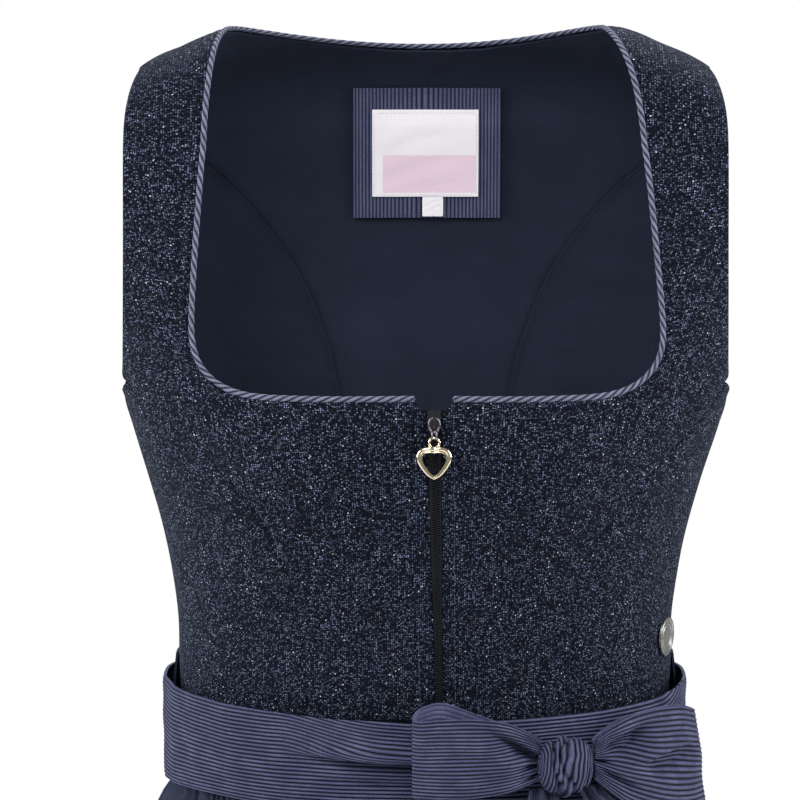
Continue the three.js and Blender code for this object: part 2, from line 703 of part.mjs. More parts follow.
// Slider: a plate in the opening with an arched bar on its face that the pull link hangs from
function sliderShape() {
  const x = along(CENTRE_FRONT, 'z', SLIDER.top, 'x');
  const middle = SLIDER.top - SLIDER.tall / 2;
  const back = bodyPoint(turnAt(false, LEFT, x, middle), middle).y + BODICE_CLOTH - GAP;
  const outline = new THREE.Shape();
  outline.moveTo(-SLIDER.wide / 2, SLIDER.tall / 2);
  outline.lineTo(-SLIDER.wide / 2, 0);
  outline.quadraticCurveTo(-SLIDER.wide / 2, -SLIDER.tall / 3, -SLIDER.wide / 4, -SLIDER.tall / 2);
  outline.lineTo(SLIDER.wide / 4, -SLIDER.tall / 2);
  outline.quadraticCurveTo(SLIDER.wide / 2, -SLIDER.tall / 3, SLIDER.wide / 2, 0);
  outline.lineTo(SLIDER.wide / 2, SLIDER.tall / 2);
  const plate = new THREE.ExtrudeGeometry(outline, { depth: SLIDER.thick, bevelEnabled: false, curveSegments: 3 });
  plate.rotateX(QUARTER);
  plate.translate(x, back, middle);
  const face = back - SLIDER.thick;
  const front = LINK.forward - LINK.bar - GAP - SLIDER.bar;
  const path = [
    [face + 1, SLIDER.archFoot],
    [front + 1, SLIDER.archFoot],
    [front, SLIDER.archFoot + 1],
    [front, SLIDER.archTop - 1],
    [front + 1, SLIDER.archTop],
    [face + 1, SLIDER.archTop],
  ];
  const stations = path.map(([y, z], i) => {
    const before = path[Math.max(i - 1, 0)];
    const after = path[Math.min(i + 1, path.length - 1)];
    const travel = new THREE.Vector3(0, after[0] - before[0], after[1] - before[1]).normalize();
    const across = new THREE.Vector3(1, 0, 0);
    return { point: new THREE.Vector3(x, y, z), across, out: across.clone().cross(travel) };
  });
  return join(plate, sweep(stations, SLIDER.bar, SLIDER.bar, 8));
}

// Link on the slider with the narrow eye below it, and where the eye carries the pendant
const linkX = along(CENTRE_FRONT, 'z', SLIDER.top, 'x');
const linkMiddle = LINK.hinge + LINK.bar - LINK.tall / 2;
const linkBottom = LINK.hinge - LINK.tall + 2 * LINK.bar;
const eyeMiddle = linkBottom + EYE.bar - EYE.tall / 2 + EYE.bar / 2;
const heartHinge = eyeMiddle - EYE.tall / 2 + 2 * EYE.bar + GAP + HEART.bar;

function pullLink() {
  const oval = stadium(LINK.wide - 2 * LINK.bar, LINK.tall - 2 * LINK.bar, 16, (across, up) => (
    new THREE.Vector3(linkX + across, LINK.forward, linkMiddle + up)
  ));
  const eye = stadium(EYE.deep, EYE.tall - 2 * EYE.bar, 12, (across, up) => (
    new THREE.Vector3(linkX, LINK.forward + across, eyeMiddle + up)
  ));
  return join(
    barRing(oval, new THREE.Vector3(0, 1, 0), LINK.bar),
    barRing(eye, new THREE.Vector3(1, 0, 0), EYE.bar),
  );
}

// Heart outline round its own middle. A negative width runs the other way round, as a hole has to.
function heartOutline(wide, tall) {
  const half = wide / 2;
  const top = tall / 2;
  const shape = new THREE.Shape();
  shape.moveTo(0, top * 0.72);
  shape.bezierCurveTo(half * 0.3, top * 1.08, half * 0.98, top * 1.1, half, top * 0.36);
  shape.bezierCurveTo(half, -top * 0.2, half * 0.38, -top * 0.66, 0, -top);
  shape.bezierCurveTo(-half * 0.38, -top * 0.66, -half, -top * 0.2, -half, top * 0.36);
  shape.bezierCurveTo(-half * 0.98, top * 1.1, -half * 0.3, top * 1.08, 0, top * 0.72);
  return shape;
}

function heartPull() {
  const bailBottom = heartHinge - HEART.bailTall + 2 * HEART.bar;
  const middle = bailBottom + HEART.bar - HEART.tall * 0.36;
  const outline = heartOutline(HEART.wide, HEART.tall);
  outline.holes.push(heartOutline(-HEART.wide * HEART.hole, HEART.tall * HEART.hole));
  const body = new THREE.ExtrudeGeometry(outline, { depth: HEART.thick, bevelEnabled: false, curveSegments: 6 });
  body.rotateX(QUARTER);
  body.translate(linkX, LINK.forward + HEART.thick / 2, middle);
  const bailMiddle = heartHinge + HEART.bar - HEART.bailTall / 2;
  const bail = stadium(HEART.bail - 2 * HEART.bar, HEART.bailTall - 2 * HEART.bar, 16, (across, up) => (
    new THREE.Vector3(linkX + across, LINK.forward, bailMiddle + up)
  ));
  return join(body, barRing(bail, new THREE.Vector3(0, 1, 0), HEART.bar));
}

// Round badge with a raised rim, its back just off the cloth
function badgeShape() {
  const rings = [
    new THREE.Vector2(0, 0),
    new THREE.Vector2(BADGE.radius, 0),
    new THREE.Vector2(BADGE.radius, BADGE.thick + BADGE.rim),
    new THREE.Vector2(BADGE.radius - 1, BADGE.thick + BADGE.rim),
    new THREE.Vector2(BADGE.radius - 1.4, BADGE.thick),
    new THREE.Vector2(0, BADGE.thick),
  ];
  const geometry = new THREE.LatheGeometry(rings, 20);
  const foot = offBody(BADGE.turn, BADGE.z, BADGE.lift);
  const out = offBody(BADGE.turn, BADGE.z, 1).sub(bodyPoint(BADGE.turn, BADGE.z));
  geometry.applyQuaternion(new THREE.Quaternion().setFromUnitVectors(new THREE.Vector3(0, 1, 0), out));
  geometry.translate(foot.x, foot.y, foot.z);
  return geometry;
}

// Point on an oval hoop round the wearer, moved out by a distance
function hoopPoint(section, turn, z, out) {
  const at = (angle) => {
    const wrapped = angle - 2 * Math.PI * Math.round(angle / (2 * Math.PI));
    const isBack = Math.abs(wrapped) > QUARTER;
    const x = section.half * signedPower(Math.sin(wrapped), 2 / section.power);
    const depth = isBack ? section.back : section.front;
    return new THREE.Vector2(x, -depth * signedPower(Math.cos(wrapped), 2 / section.power));
  };
  const step = 1e-3;
  const place = at(turn);
  const travel = at(turn + step).sub(at(turn - step)).normalize();
  return new THREE.Vector3(place.x + travel.y * out, place.y - travel.x * out, z);
}

function skirtSection(z) {
  const section = {};
  for (const key of ['half', 'front', 'back', 'power', 'gather', 'fold', 'apron']) {
    section[key] = along(SKIRT, 'z', z, key);
  }
  return section;
}

// Large soft folds round the skirt, uneven in depth and spacing, with a hollow on each side seam
function foldWave(turn) {
  const phase = FOLDS_ROUND * turn + 0.35 * (1 - Math.cos(4 * turn));
  return Math.cos(phase) * (1 + 0.22 * Math.sin(3 * turn + 1));
}

// Wall from rows of points on its outer face, given in columns from left to right
function gridWall(rows, thickness) {
  const columns = rows[0].length;
  const outer = rows.flat();
  const faces = [];
  for (let i = 0; i + 1 < rows.length; i += 1) {
    for (let j = 0; j + 1 < columns; j += 1) {
      const a = i * columns + j;
      faces.push([a, a + 1, a + columns + 1], [a, a + columns + 1, a + columns]);
    }
  }
  const normals = outer.map(() => new THREE.Vector3());
  for (const face of faces) {
    const [a, b, c] = face.map((index) => outer[index]);
    const normal = b.clone().sub(a).cross(c.clone().sub(a)).normalize();
    face.forEach((index) => normals[index].add(normal));
  }
  const inner = outer.map((point, i) => point.clone().addScaledVector(normals[i].normalize(), -thickness));
  return closeWall(outer, inner, faces);
}

// Gathered panel hung between two turns: rows from the hem up, a set number of gathers across
function gatheredPanel({ rows, from, to, gathers, isApron, thickness }) {
  const columns = gathers * GATHERS.columns;
  const grid = rows.map((z) => {
    const section = skirtSection(z);
    return Array.from({ length: columns + 1 }, (_, j) => {
      const turn = from + (to - from) * j / columns;
      const edge = Math.min(j, columns - j) / GATHERS.columns;
      const settle = Math.min(edge, 1);
      const gather = section.gather * Math.cos(2 * Math.PI * j / GATHERS.columns) * settle;
      const fold = section.fold * foldWave(turn);
      return hoopPoint(section, turn, z, gather + fold + (isApron ? section.apron : 0));
    });
  });
  return gridWall(grid, thickness);
}

const seamTurn = GAP / 2 / 82;

function skirtFront() {
  return gatheredPanel({
    rows: SKIRT_FRONT_ROWS,
    from: -QUARTER + seamTurn,
    to: QUARTER - seamTurn,
    gathers: GATHERS.skirtFront,
    isApron: false,
    thickness: SKIRT_CLOTH,
  });
}

function skirtBack() {
  return gatheredPanel({
    rows: SKIRT_BACK_ROWS,
    from: QUARTER + seamTurn,
    to: 3 * QUARTER - seamTurn,
    gathers: GATHERS.skirtBack,
    isApron: false,
    thickness: SKIRT_CLOTH,
  });
}

function apronPanel() {
  return gatheredPanel({
    rows: APRON_ROWS,
    from: -APRON_TURN,
    to: APRON_TURN,
    gathers: GATHERS.apron,
    isApron: true,
    thickness: APRON_CLOTH,
  });
}

// Band once round the waist, its ends meeting under the knot, with the crease that runs into the knot
function bandRing() {
  const from = KNOT.turn + seamTurn - 2 * Math.PI;
  const to = KNOT.turn - seamTurn;
  const rows = Array.from({ length: BAND_ROWS + 1 }, (_, i) => (
    Array.from({ length: BAND_COLUMNS + 1 }, (_unused, j) => {
      const turn = from + (to - from) * j / BAND_COLUMNS;
      const frontness = Math.max(Math.cos(turn), 0);
      const top = BAND_EDGE.top - BAND_EDGE.drop * frontness ** 2;
      const z = BAND_EDGE.bottom + (top - BAND_EDGE.bottom) * i / BAND_ROWS;
      const near = Math.exp(-(((turn - BAND_FOLD.turn) / BAND_FOLD.spread) ** 2));
      const crease = Math.exp(-(((z - BAND_FOLD.z) / BAND_FOLD.tall) ** 2));
      return hoopPoint(BAND, turn, z, BAND_FOLD.rise * near * (1 - crease));
    })
  ));
  return gridWall(rows, BAND_CLOTH);
}

// Knot of the bow: a rounded block, fuller in its middle, seated just off the band
function knotShape() {
  const geometry = new THREE.SphereGeometry(1, 14, 9);
  const position = geometry.attributes.position;
  const centre = hoopPoint(BAND, KNOT.turn, KNOT.z, KNOT.out + BAND_FOLD.rise + GAP);
  const out = hoopPoint(BAND, KNOT.turn, KNOT.z, 1).sub(hoopPoint(BAND, KNOT.turn, KNOT.z, 0));
  const across = new THREE.Vector3(-out.y, out.x, 0);
  for (let i = 0; i < position.count; i += 1) {
    const a = signedPower(position.getX(i), KNOT.power) * KNOT.half;
    const b = signedPower(position.getY(i), KNOT.power) * KNOT.tall;
    const c = signedPower(position.getZ(i), KNOT.power) * KNOT.deep;
    const place = centre.clone().addScaledVector(across, a).addScaledVector(out, c);
    position.setXYZ(i, place.x, place.y, place.z + b);
  }
  return geometry;
}

// Loop of the bow from its stations, each a line across the cloth from its lower edge, which stands out
// by the flare, to its upper edge
function bowLoop(stations) {
  const rows = Array.from({ length: LOOP_ACROSS + 1 }, (_, i) => (
    stations.map(({ turn, out, top, bottom, belly, flare }) => {
      const share = i / LOOP_ACROSS;
      const bulge = belly * Math.sin(Math.PI * share) + flare * (1 - share);
      return hoopPoint(BAND, turn, bottom + (top - bottom) * share, out + bulge);
    })
  ));
  return gridWall(rows, BAND_CLOTH);
}

// Tail of the bow down the apron, with a slanted end and a soft wave across
function bowTail(stations, phase) {
  const rows = [...stations].reverse().map(({ z, middle, half, out }, i) => {
    const section = z > BAND_EDGE.bottom ? BAND : skirtSection(z);
    const spread = half / stations[stations.length - 1].half;
    return Array.from({ length: TAIL_COLUMNS + 1 }, (_, j) => {
      const share = j / TAIL_COLUMNS;
      const x = middle + half * (2 * share - 1);
      const turn = Math.asin(Math.min(x / section.half, 1) ** (section.power / 2));
      const wave = TAIL_WAVE * spread * Math.cos(2 * Math.PI * (share + phase) + i * 0.5);
      const slant = i === 0 ? TAIL_SLANT * share : 0;
      return hoopPoint(section, turn, z + slant, out + wave);
    });
  });
  return gridWall(rows, BAND_CLOTH);
}

const bodiceLift = [0, -BODICE_CLOTH];
const liningLift = [-BODICE_CLOTH - GAP, -BODICE_CLOTH - GAP - LINING_CLOTH];
const patchLift = liningLift[1] - PATCH.lift;
const labelLift = patchLift - PATCH_CLOTH - LABEL.lift;

const PIECES = [
  ['front_center_right', frontCentre(RIGHT), FINISH.glitter],
  ['front_center_left', frontCentre(LEFT), FINISH.glitter],
  ['front_side_right', frontSide(RIGHT), FINISH.glitter],
  ['front_side_left', frontSide(LEFT), FINISH.glitter],
  ['back_center', bodySheet(backCentrePatches(), ...bodiceLift), FINISH.glitter],
  ['back_side_right', bodySheet(backSidePatches(RIGHT), ...bodiceLift), FINISH.glitter],
  ['back_side_left', bodySheet(backSidePatches(LEFT), ...bodiceLift), FINISH.glitter],
  ['lining_back_center', bodySheet(backCentrePatches(), ...liningLift), FINISH.lining],
  ['lining_back_side_right', bodySheet(backSidePatches(RIGHT), ...liningLift), FINISH.lining],
  ['lining_back_side_left', bodySheet(backSidePatches(LEFT), ...liningLift), FINISH.lining],
  ['piping_front_right', frontPiping(RIGHT), FINISH.piping],
  ['piping_front_left', frontPiping(LEFT), FINISH.piping],
  ['piping_back', pipingAlong(backNeckBeside(PIPING.across / 2)), FINISH.piping],
  ['label_patch', insideBack(PATCH, patchLift, patchLift - PATCH_CLOTH, 6, 6), FINISH.ribbed],
  ['label', insideBack(LABEL, labelLift, labelLift - PATCH_CLOTH, 4, 4), FINISH.label],
  ['size_tab', insideBack(SIZE_TAB, labelLift, labelLift - PATCH_CLOTH, 1, 1), FINISH.label],
  ['badge', badgeShape(), FINISH.silver],
  ['zip', zipShape(), FINISH.zip],
  ['zip_slider', sliderShape(), FINISH.slider],
  ['pull_link', pullLink(), FINISH.slider],
  ['heart_pull', heartPull(), FINISH.gold],
  ['skirt_front', skirtFront(), FINISH.skirt],
  ['skirt_back', skirtBack(), FINISH.skirt],
  ['apron', apronPanel(), FINISH.skirt],
  ['apron_band', bandRing(), FINISH.ribbed],
  ['bow_knot', knotShape(), FINISH.ribbed],
  ['bow_loop_right', bowLoop(LOOP_RIGHT), FINISH.ribbed],
  ['bow_loop_left', bowLoop(LOOP_LEFT), FINISH.ribbed],
  ['bow_tail_right', bowTail(TAIL_RIGHT, 0), FINISH.ribbed],
  ['bow_tail_left', bowTail(TAIL_LEFT, 0.3), FINISH.ribbed],
];

const dirndl = new THREE.Group();
for (const [name, geometry, material] of PIECES) {
  geometry.computeVertexNormals();
  const mesh = new THREE.Mesh(geometry, material);
  mesh.name = name;
  dirndl.add(mesh);
}

export default dirndl;
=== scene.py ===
import math

import bpy
import numpy as np
from mathutils import Matrix, Vector


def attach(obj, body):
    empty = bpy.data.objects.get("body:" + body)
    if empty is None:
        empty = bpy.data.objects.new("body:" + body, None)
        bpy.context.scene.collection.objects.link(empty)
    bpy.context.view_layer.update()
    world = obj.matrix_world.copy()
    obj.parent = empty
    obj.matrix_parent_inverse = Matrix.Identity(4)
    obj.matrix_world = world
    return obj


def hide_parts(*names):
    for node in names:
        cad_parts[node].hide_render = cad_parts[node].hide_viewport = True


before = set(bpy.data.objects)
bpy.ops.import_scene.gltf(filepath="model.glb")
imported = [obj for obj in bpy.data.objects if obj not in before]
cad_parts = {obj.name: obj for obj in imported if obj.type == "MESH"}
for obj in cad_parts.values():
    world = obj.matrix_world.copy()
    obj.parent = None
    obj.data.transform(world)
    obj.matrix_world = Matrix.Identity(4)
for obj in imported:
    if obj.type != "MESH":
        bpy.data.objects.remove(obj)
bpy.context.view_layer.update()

MM = 0.001
BODY = "garment"
RIGHT, LEFT = -1, 1
PI = math.pi

# Heights and cloth thicknesses of the part
UNDERARM = -190
NECKLINE = -177
ROLL = -55
HEM = -1030
APRON_HEM = -985
BODICE_CLOTH = 1.4
LINING_CLOTH = 1.0
SKIRT_CLOTH = 1.2
APRON_CLOTH = 1.0
BAND_CLOTH = 1.5
GAP = 0.3
OVAL = 2.35
SEAM_STOP = -0.066
SEAM = 0.02
BAND_SEAM_HALF = 0.0005

# Bodice sections: height, half breadth, depth to the front and to the back
BODY_ROWS = np.array([
    (-345, 127.6, 84, 78), (-330, 128.4, 84.5, 77), (-305, 129.0, 86, 76.5), (-278, 132.7, 89, 77),
    (-256, 137.0, 92.5, 79), (-235, 142.6, 97, 81), (-204, 152.3, 101, 84.5), (-190, 156.2, 101, 86),
    (-165, 154.8, 99, 88.5), (-140, 153.8, 95, 90), (-100, 153, 86, 89), (-55, 153, 71, 82),
])
SHOULDER_ROWS = np.array([(0, 1.5), (90, 0.8), (104, -0.5), (125, -9.5), (146, -20), (157, -33)])
ARM_TOP_ROWS = np.array([(-55, 153), (-44, 152.6), (-33, 151.8), (-22, 150.4), (-11, 148.4), (0, 146)])
ARM_REACH_FRONT, ARM_REACH_BACK, ARM_MIDDLE, ARM_POWER, ARM_TAPER = 58, 65, -100, 2.2, 8
BUST_X, BUST_Z, BUST_SPREAD_X, BUST_SPREAD_Z, BUST_RISE = 60, -208, 44, 40, 9

# Centre front line: height, distance to the wearer's left, width of the zip's opening
CENTRE_ROWS = np.array([(-345, 7.2, 3.4), (-235, 4.8, 6.4), (-185, 4.0, 7.4), (-170, 3.8, 7.4)])
NOTCH_HALF = 9.1
PIPING_ACROSS, PIPING_THICK = 3.0, 2.2
PIPING_ROOM = PIPING_ACROSS + GAP

# Front neckline: height, distance from the middle on the wearer's right and left
NECK_ROWS = np.array([
    (-177, 27, 32), (-177, 46, 50), (-177, 64, 67), (-177, 80, 82), (-176.2, 91, 93), (-173.6, 100.5, 102.5),
    (-169, 108, 110), (-162, 113.5, 115.5), (-152, 116.3, 118), (-138, 116.5, 117.5), (-121, 115.5, 115.8),
    (-103, 114.3, 114), (-86, 113, 112.2), (-70, 111.8, 110.5), (-55, 110.5, 108.5), (-44, 109.4, 106),
    (-33, 108, 102.8), (-22, 106.3, 98.6), (-11, 104.2, 94), (0, 101.5, 90.5),
])
NECK_BACK_DEPTH = 0.517

# Front princess seams: distance on the wearer's right and left, height, side station, zip station
FRONT_SEAM_ROWS = np.array([
    (60, 74.5, -345, -345, -345), (61, 74, -315, -318, -312), (65, 74.5, -288, -294, -280),
    (73, 81, -262, -270, -252), (84, 97, -241, -250, -230), (99, 112.5, -222, -232, -212),
    (117, 130, -205, -216, -200), (136, 145, -191, -202, -191), (153, 154, -179, -190, -186.6),
])
FRONT_ARM_HEIGHTS = np.array([
    -175, -171, -165, -158, -151, -144, -137, -130, -122, -114, -105, -95, -85, -74, -64, -54, -44, -33, -22,
    -11, 0,
])

# Back princess seams: distance, height, middle station, side station
BACK_SEAM_ROWS = np.array([
    (37, -345, -345, -345), (38, -300, -300, -305), (40, -255, -255, -268), (44, -215, -215, -235),
    (50, -182, -180, -208), (59, -155, -148, -190), (69, -133, -118, -170), (84, -111, -92, -150),
    (97, -95, -72, -130), (109, -83, -58, -110), (122, -72, -44, -92), (136, -62, -30, -76),
    (152, -55, -20, -60),
])
BACK_NECK_ROWS = np.array([
    (0.2, -51), (0.4, -46), (0.58, -40), (0.73, -33), (0.85, -25), (0.93, -17), (0.98, -9), (1, 0),
])

# Skirt sections: height, half, front, back, power, gather, fold, apron's distance
SKIRT_ROWS = np.array([
    (-1030, 262, 208, 214, 2.1, 0, 12, 6.4), (-860, 240, 190, 194, 2.1, 0, 10, 6.4),
    (-700, 214, 169, 172, 2.1, 0.2, 8, 6), (-560, 185, 144, 145, 2.15, 0.6, 5.5, 5.4),
    (-470, 162, 122, 121, 2.2, 0.9, 3.2, 4.8), (-425, 146.5, 106, 103, 2.3, 1.1, 1.6, 4.2),
    (-404, 137.6, 96, 92, 2.35, 1.1, 0.8, 4), (-391, 131.4, 88, 82.4, 2.35, 0.5, 0, 2.8),
    (-342, 131.8, 88, 82.4, 2.35, 0.5, 0, 2.8), (-327, 130.4, 87, 81, 2.35, 0.4, 0, 2.8),
])
FOLDS_ROUND = 22
APRON_TURN = 1.16
BAND_SECTION = (136.6, 93.4, 86, OVAL)
BAND_TOP, BAND_DROP, BAND_BOTTOM = -337, 6.5, -391
RIB_PITCH = 2.45
KNOT_TURN, KNOT_Z = 0.463, -363.5
BAND_RIBS, LOOP_RIBS, KNOT_RIBS = 24, 21, 17
BAND_SEAM, BAND_FOLD_Z = 0.2, -364
FOLD_STARTS, FOLD_FULL, FOLD_BULGE, FOLD_SOFTNESS, FOLD_SAG = 0.98, 0.56, 8, 16, 2.6
BAND_LIFT, BAND_LIFT_TURN, BAND_LIFT_SPREAD = 3.5, -0.98, 0.5

# Linings, patch and labels inside the back: faces measured inward from the bodice, edges in millimetres
LINING_FACE = -BODICE_CLOTH - GAP - 0.3
PATCH_FACE = -BODICE_CLOTH - GAP - LINING_CLOTH - 1.6
LABEL_FACE = PATCH_FACE - 1.6
PATCH_EDGES = (-38, 41, -44, -106)
LABEL_EDGES = (-28, 29, -51, -94)
TAB_EDGES = (-1, 10, -94.3, -105)

# Zip, its pull and the badge
STITCH_INSET = 6.5
TOOTH_PITCH = 1.3
ZIP_OPENING = 7.0
HINGE_X, PULL_FORWARD = 4.0, -106.2
LINK_Z, EYE_Z, BAIL_Z, HEART_Z = -190.85, -196.2, -199.9, -210
EYE_APART = 1.15
HEART_OUTER = [
    (0, 8), (2.6, 8.2), (5.3, 7.8), (7.6, 6.4), (8.9, 4.2), (8.9, 1.8), (7.9, -0.8), (5.8, -4), (3.1, -6.9),
    (0, -8.7),
]
HEART_INNER = [
    (0, 4.8), (1.8, 5.1), (3.9, 4.9), (5.3, 3.9), (5.7, 2.3), (5.4, 0.5), (4.5, -1.3), (3.1, -3.3),
    (1.6, -5.1), (0, -6.1),
]
HEART_PROFILE = [
    (0, -0.9), (0, 0.7), (0.08, 1.2), (0.2, 1.25), (0.32, 0.75), (0.55, 1.15), (0.75, 1.05), (0.92, 0.6),
    (1, 0), (0.92, -0.6), (0.6, -1.1), (0.25, -1.1),
]
BADGE_TURN, BADGE_Z, BADGE_LIFT = 1.26, -312, 0.6
BADGE_PROFILE = [
    (0, 0), (9.6, 0), (10, 0.3), (10, 1.4), (9.8, 1.65), (9.4, 1.7), (8.8, 1.65), (8.5, 1.2), (7, 1.15),
    (6.8, 1.4), (6.4, 1.4), (6.2, 1.15), (3, 1.2), (0, 1.2),
]
NECK_CORNER = -171
ROOM_LIGHT = 0.28
FLOOR_Z = -1.12

# Area lights: name, place, height of the aim on the middle axis, size and power
LIGHTS = (
    ("front_soft", (-0.5, -1.9, 1.9), -0.25, (1.2, 1.2), 44),
    ("side_left", (-2.1, -0.7, 0.5), -0.25, (1.2, 2.0), 56),
    ("side_right", (2.1, -0.7, 0.5), -0.25, (1.2, 2.0), 56),
    ("back_top", (0.3, 1.8, 1.8), -0.3, (1.6, 1.0), 24),
)


# Smooth curve through a table's columns, for an array of places
def smooth(places, values, at):
    places = np.asarray(places, float)
    values = np.asarray(values, float)
    if places[-1] < places[0]:
        places, values = places[::-1], values[::-1]
    spot = np.clip(at, places[0], places[-1])
    i = np.clip(np.searchsorted(places, spot, side="right") - 1, 0, len(places) - 2)
    low, high = np.arange(len(places)) - 1, np.arange(len(places)) + 1
    low, high = np.clip(low, 0, None), np.clip(high, None, len(places) - 1)
    slope = (values[high] - values[low]) / (places[high] - places[low])
    span = places[i + 1] - places[i]
    t = (spot - places[i]) / span
    rise = t * t * (3 - 2 * t)
    start = values[i] * (1 - rise) + t * (1 - t) ** 2 * span * slope[i]
    return start + values[i + 1] * rise - t * t * (1 - t) * span * slope[i + 1]


# Evenly spaced samples on a smooth curve through stations given as rows
def resample(stations, count):
    stations = np.asarray(stations, float)
    index = np.arange(len(stations))
    at = np.linspace(0, len(stations) - 1, count)
    return np.stack([smooth(index, stations[:, k], at) for k in range(stations.shape[1])], 1)


# Soft random waves of about one unit, from a fixed seed, over any number of coordinates
def ripple(seed, *coords):
    rng = np.random.RandomState(seed)
    total = 0
    for _ in range(9):
        phase = rng.uniform(0, 2 * PI)
        direction = rng.normal(size=len(coords))
        direction /= np.linalg.norm(direction)
        reach = rng.uniform(0.6, 1.7)
        angle = sum(d * reach * 2 * PI * np.asarray(c) for d, c in zip(direction, coords))
        total = total + np.sin(angle + phase)
    return total / 3


def arm_reach(widest, z):
    below = np.clip((ARM_MIDDLE - z) / (ARM_MIDDLE - UNDERARM), 0, 1)
    above = np.clip((z - ARM_MIDDLE) / (ROLL - ARM_MIDDLE), 0, 1)
    lower = widest * (1 - below**ARM_POWER) ** (1 / ARM_POWER)
    return np.where(z < ARM_MIDDLE, lower, widest - ARM_TAPER * above * above)


def body_section(back, height):
    z = np.minimum(height, ROLL)
    table = BODY_ROWS.T
    depth = np.where(back, smooth(table[0], table[3], z), smooth(table[0], table[2], z))
    reach = arm_reach(np.where(back, ARM_REACH_BACK, ARM_REACH_FRONT), z)
    wide = smooth(table[0], table[1], z) / (1 - (reach / depth) ** OVAL) ** (1 / OVAL)
    return z, depth, wide


# Outer face of the bodice: turn runs from the front centre over the wearer's left to the back centre
def body_point(turn, height):
    turn, height = np.broadcast_arrays(np.asarray(turn, float), np.asarray(height, float))
    wrapped = turn - 2 * PI * np.round(turn / (2 * PI))
    side = np.sign(wrapped)
    back = np.abs(wrapped) > PI / 2
    angle = np.where(back, PI - np.abs(wrapped), np.abs(wrapped))
    z, depth, wide = body_section(back, height)
    x = wide * np.maximum(np.sin(angle), 0) ** (2 / OVAL)
    oval = depth * np.maximum(np.cos(angle), 0) ** (2 / OVAL)
    bust = np.exp(-(((x - BUST_X) / BUST_SPREAD_X) ** 2) - ((z - BUST_Z) / BUST_SPREAD_Z) ** 2)
    y = np.where(back, oval, -(oval + BUST_RISE * bust))
    left = np.clip(height / ROLL, 0, 1)
    top = smooth(SHOULDER_ROWS[:, 0], SHOULDER_ROWS[:, 1], x)
    over = height > ROLL
    y = np.where(over, y * (1 - (1 - left) ** 2), y)
    z = np.where(over, top + (ROLL - top) * left * left, height)
    return np.stack([side * x, y, z], -1)


def body_slopes(turn, height):
    step = 1e-3
    lower = np.minimum(height, -step)
    per_turn = (body_point(turn + step, lower) - body_point(turn - step, lower)) / (2 * step)
    per_height = (body_point(turn, lower + step) - body_point(turn, lower - step)) / (2 * step)
    return per_turn, per_height


def unit(vectors):
    return vectors / np.maximum(np.linalg.norm(vectors, axis=-1, keepdims=True), 1e-12)


def off_body(turn, height, distance):
    per_turn, per_height = body_slopes(turn, height)
    out = unit(np.cross(per_turn, per_height))
    return body_point(turn, height) + out * np.asarray(distance)[..., None]


def turn_at(back, side, x, height):
    _, _, wide = body_section(back, height)
    angle = np.arcsin(np.minimum(np.abs(x) / wide, 1) ** (OVAL / 2))
    turn = np.where(back, PI - angle, angle)
    return side * np.where(np.asarray(x) < 0, -1, 1) * turn


def to_turns(back, side, line):
    height = np.minimum(line[:, 1], SEAM_STOP)
    return np.stack([turn_at(back, side, line[:, 0], line[:, 1]), height], 1)


def side_seam(back, side, heights):
    _, depth, _ = body_section(back, heights)
    angle = np.arccos((SEAM / 2 / depth) ** (OVAL / 2))
    return np.stack([side * (PI - angle if back else angle), heights], 1)


# Line of [turn, height] moved sideways over the body, to the left of travel seen from outside
def beside(line, distance):
    turn, height = line.T
    points = body_point(turn, height)
    per_turn, per_height = body_slopes(turn, height)
    out = unit(np.cross(per_turn, per_height))
    travel = np.empty_like(points)
    travel[1:-1] = points[2:] - points[:-2]
    travel[0] = points[1] - points[0]
    travel[-1] = points[-1] - points[-2]
    move = unit(np.cross(out, travel)) * distance
    e, f, g = ((a * b).sum(1) for a, b in (
        (per_turn, per_turn), (per_turn, per_height), (per_height, per_height),
    ))
    u, v = (move * per_turn).sum(1), (move * per_height).sum(1)
    scale = e * g - f * f
    moved = height + (e * v - f * u) / scale
    return np.stack([turn + (g * u - f * v) / scale, np.minimum(moved, SEAM_STOP)], 1)


def arm_edge(back, side, heights):
    low = smooth(BODY_ROWS[:, 0], BODY_ROWS[:, 1], heights)
    high = smooth(ARM_TOP_ROWS[:, 0], ARM_TOP_ROWS[:, 1], heights)
    x = np.where(heights <= ROLL, low, high)
    return to_turns(back, side, np.stack([x, heights], 1))


def front_neck(side, count):
    column = 1 if side == RIGHT else 2
    notch = side * smooth(CENTRE_ROWS[:, 0], CENTRE_ROWS[:, 1], NECKLINE) + NOTCH_HALF
    line = np.vstack([[notch, NECKLINE], NECK_ROWS[:, [column, 0]]])
    return to_turns(False, side, resample(line, count))


def zip_edge(side, count):
    heights = resample(FRONT_SEAM_ROWS[:, 4:5], count)[:, 0]
    middle = smooth(CENTRE_ROWS[:, 0], CENTRE_ROWS[:, 1], heights)
    opening = np.minimum(smooth(CENTRE_ROWS[:, 0], CENTRE_ROWS[:, 2], heights), ZIP_OPENING)
    return to_turns(False, side, np.stack([side * middle + opening / 2, heights], 1))


def front_seam(side, count):
    column = 0 if side == RIGHT else 1
    return to_turns(False, side, resample(FRONT_SEAM_ROWS[:, [column, 2]], count))


def back_seam(side, count):
    return to_turns(True, side, resample(BACK_SEAM_ROWS[:, :2], count))


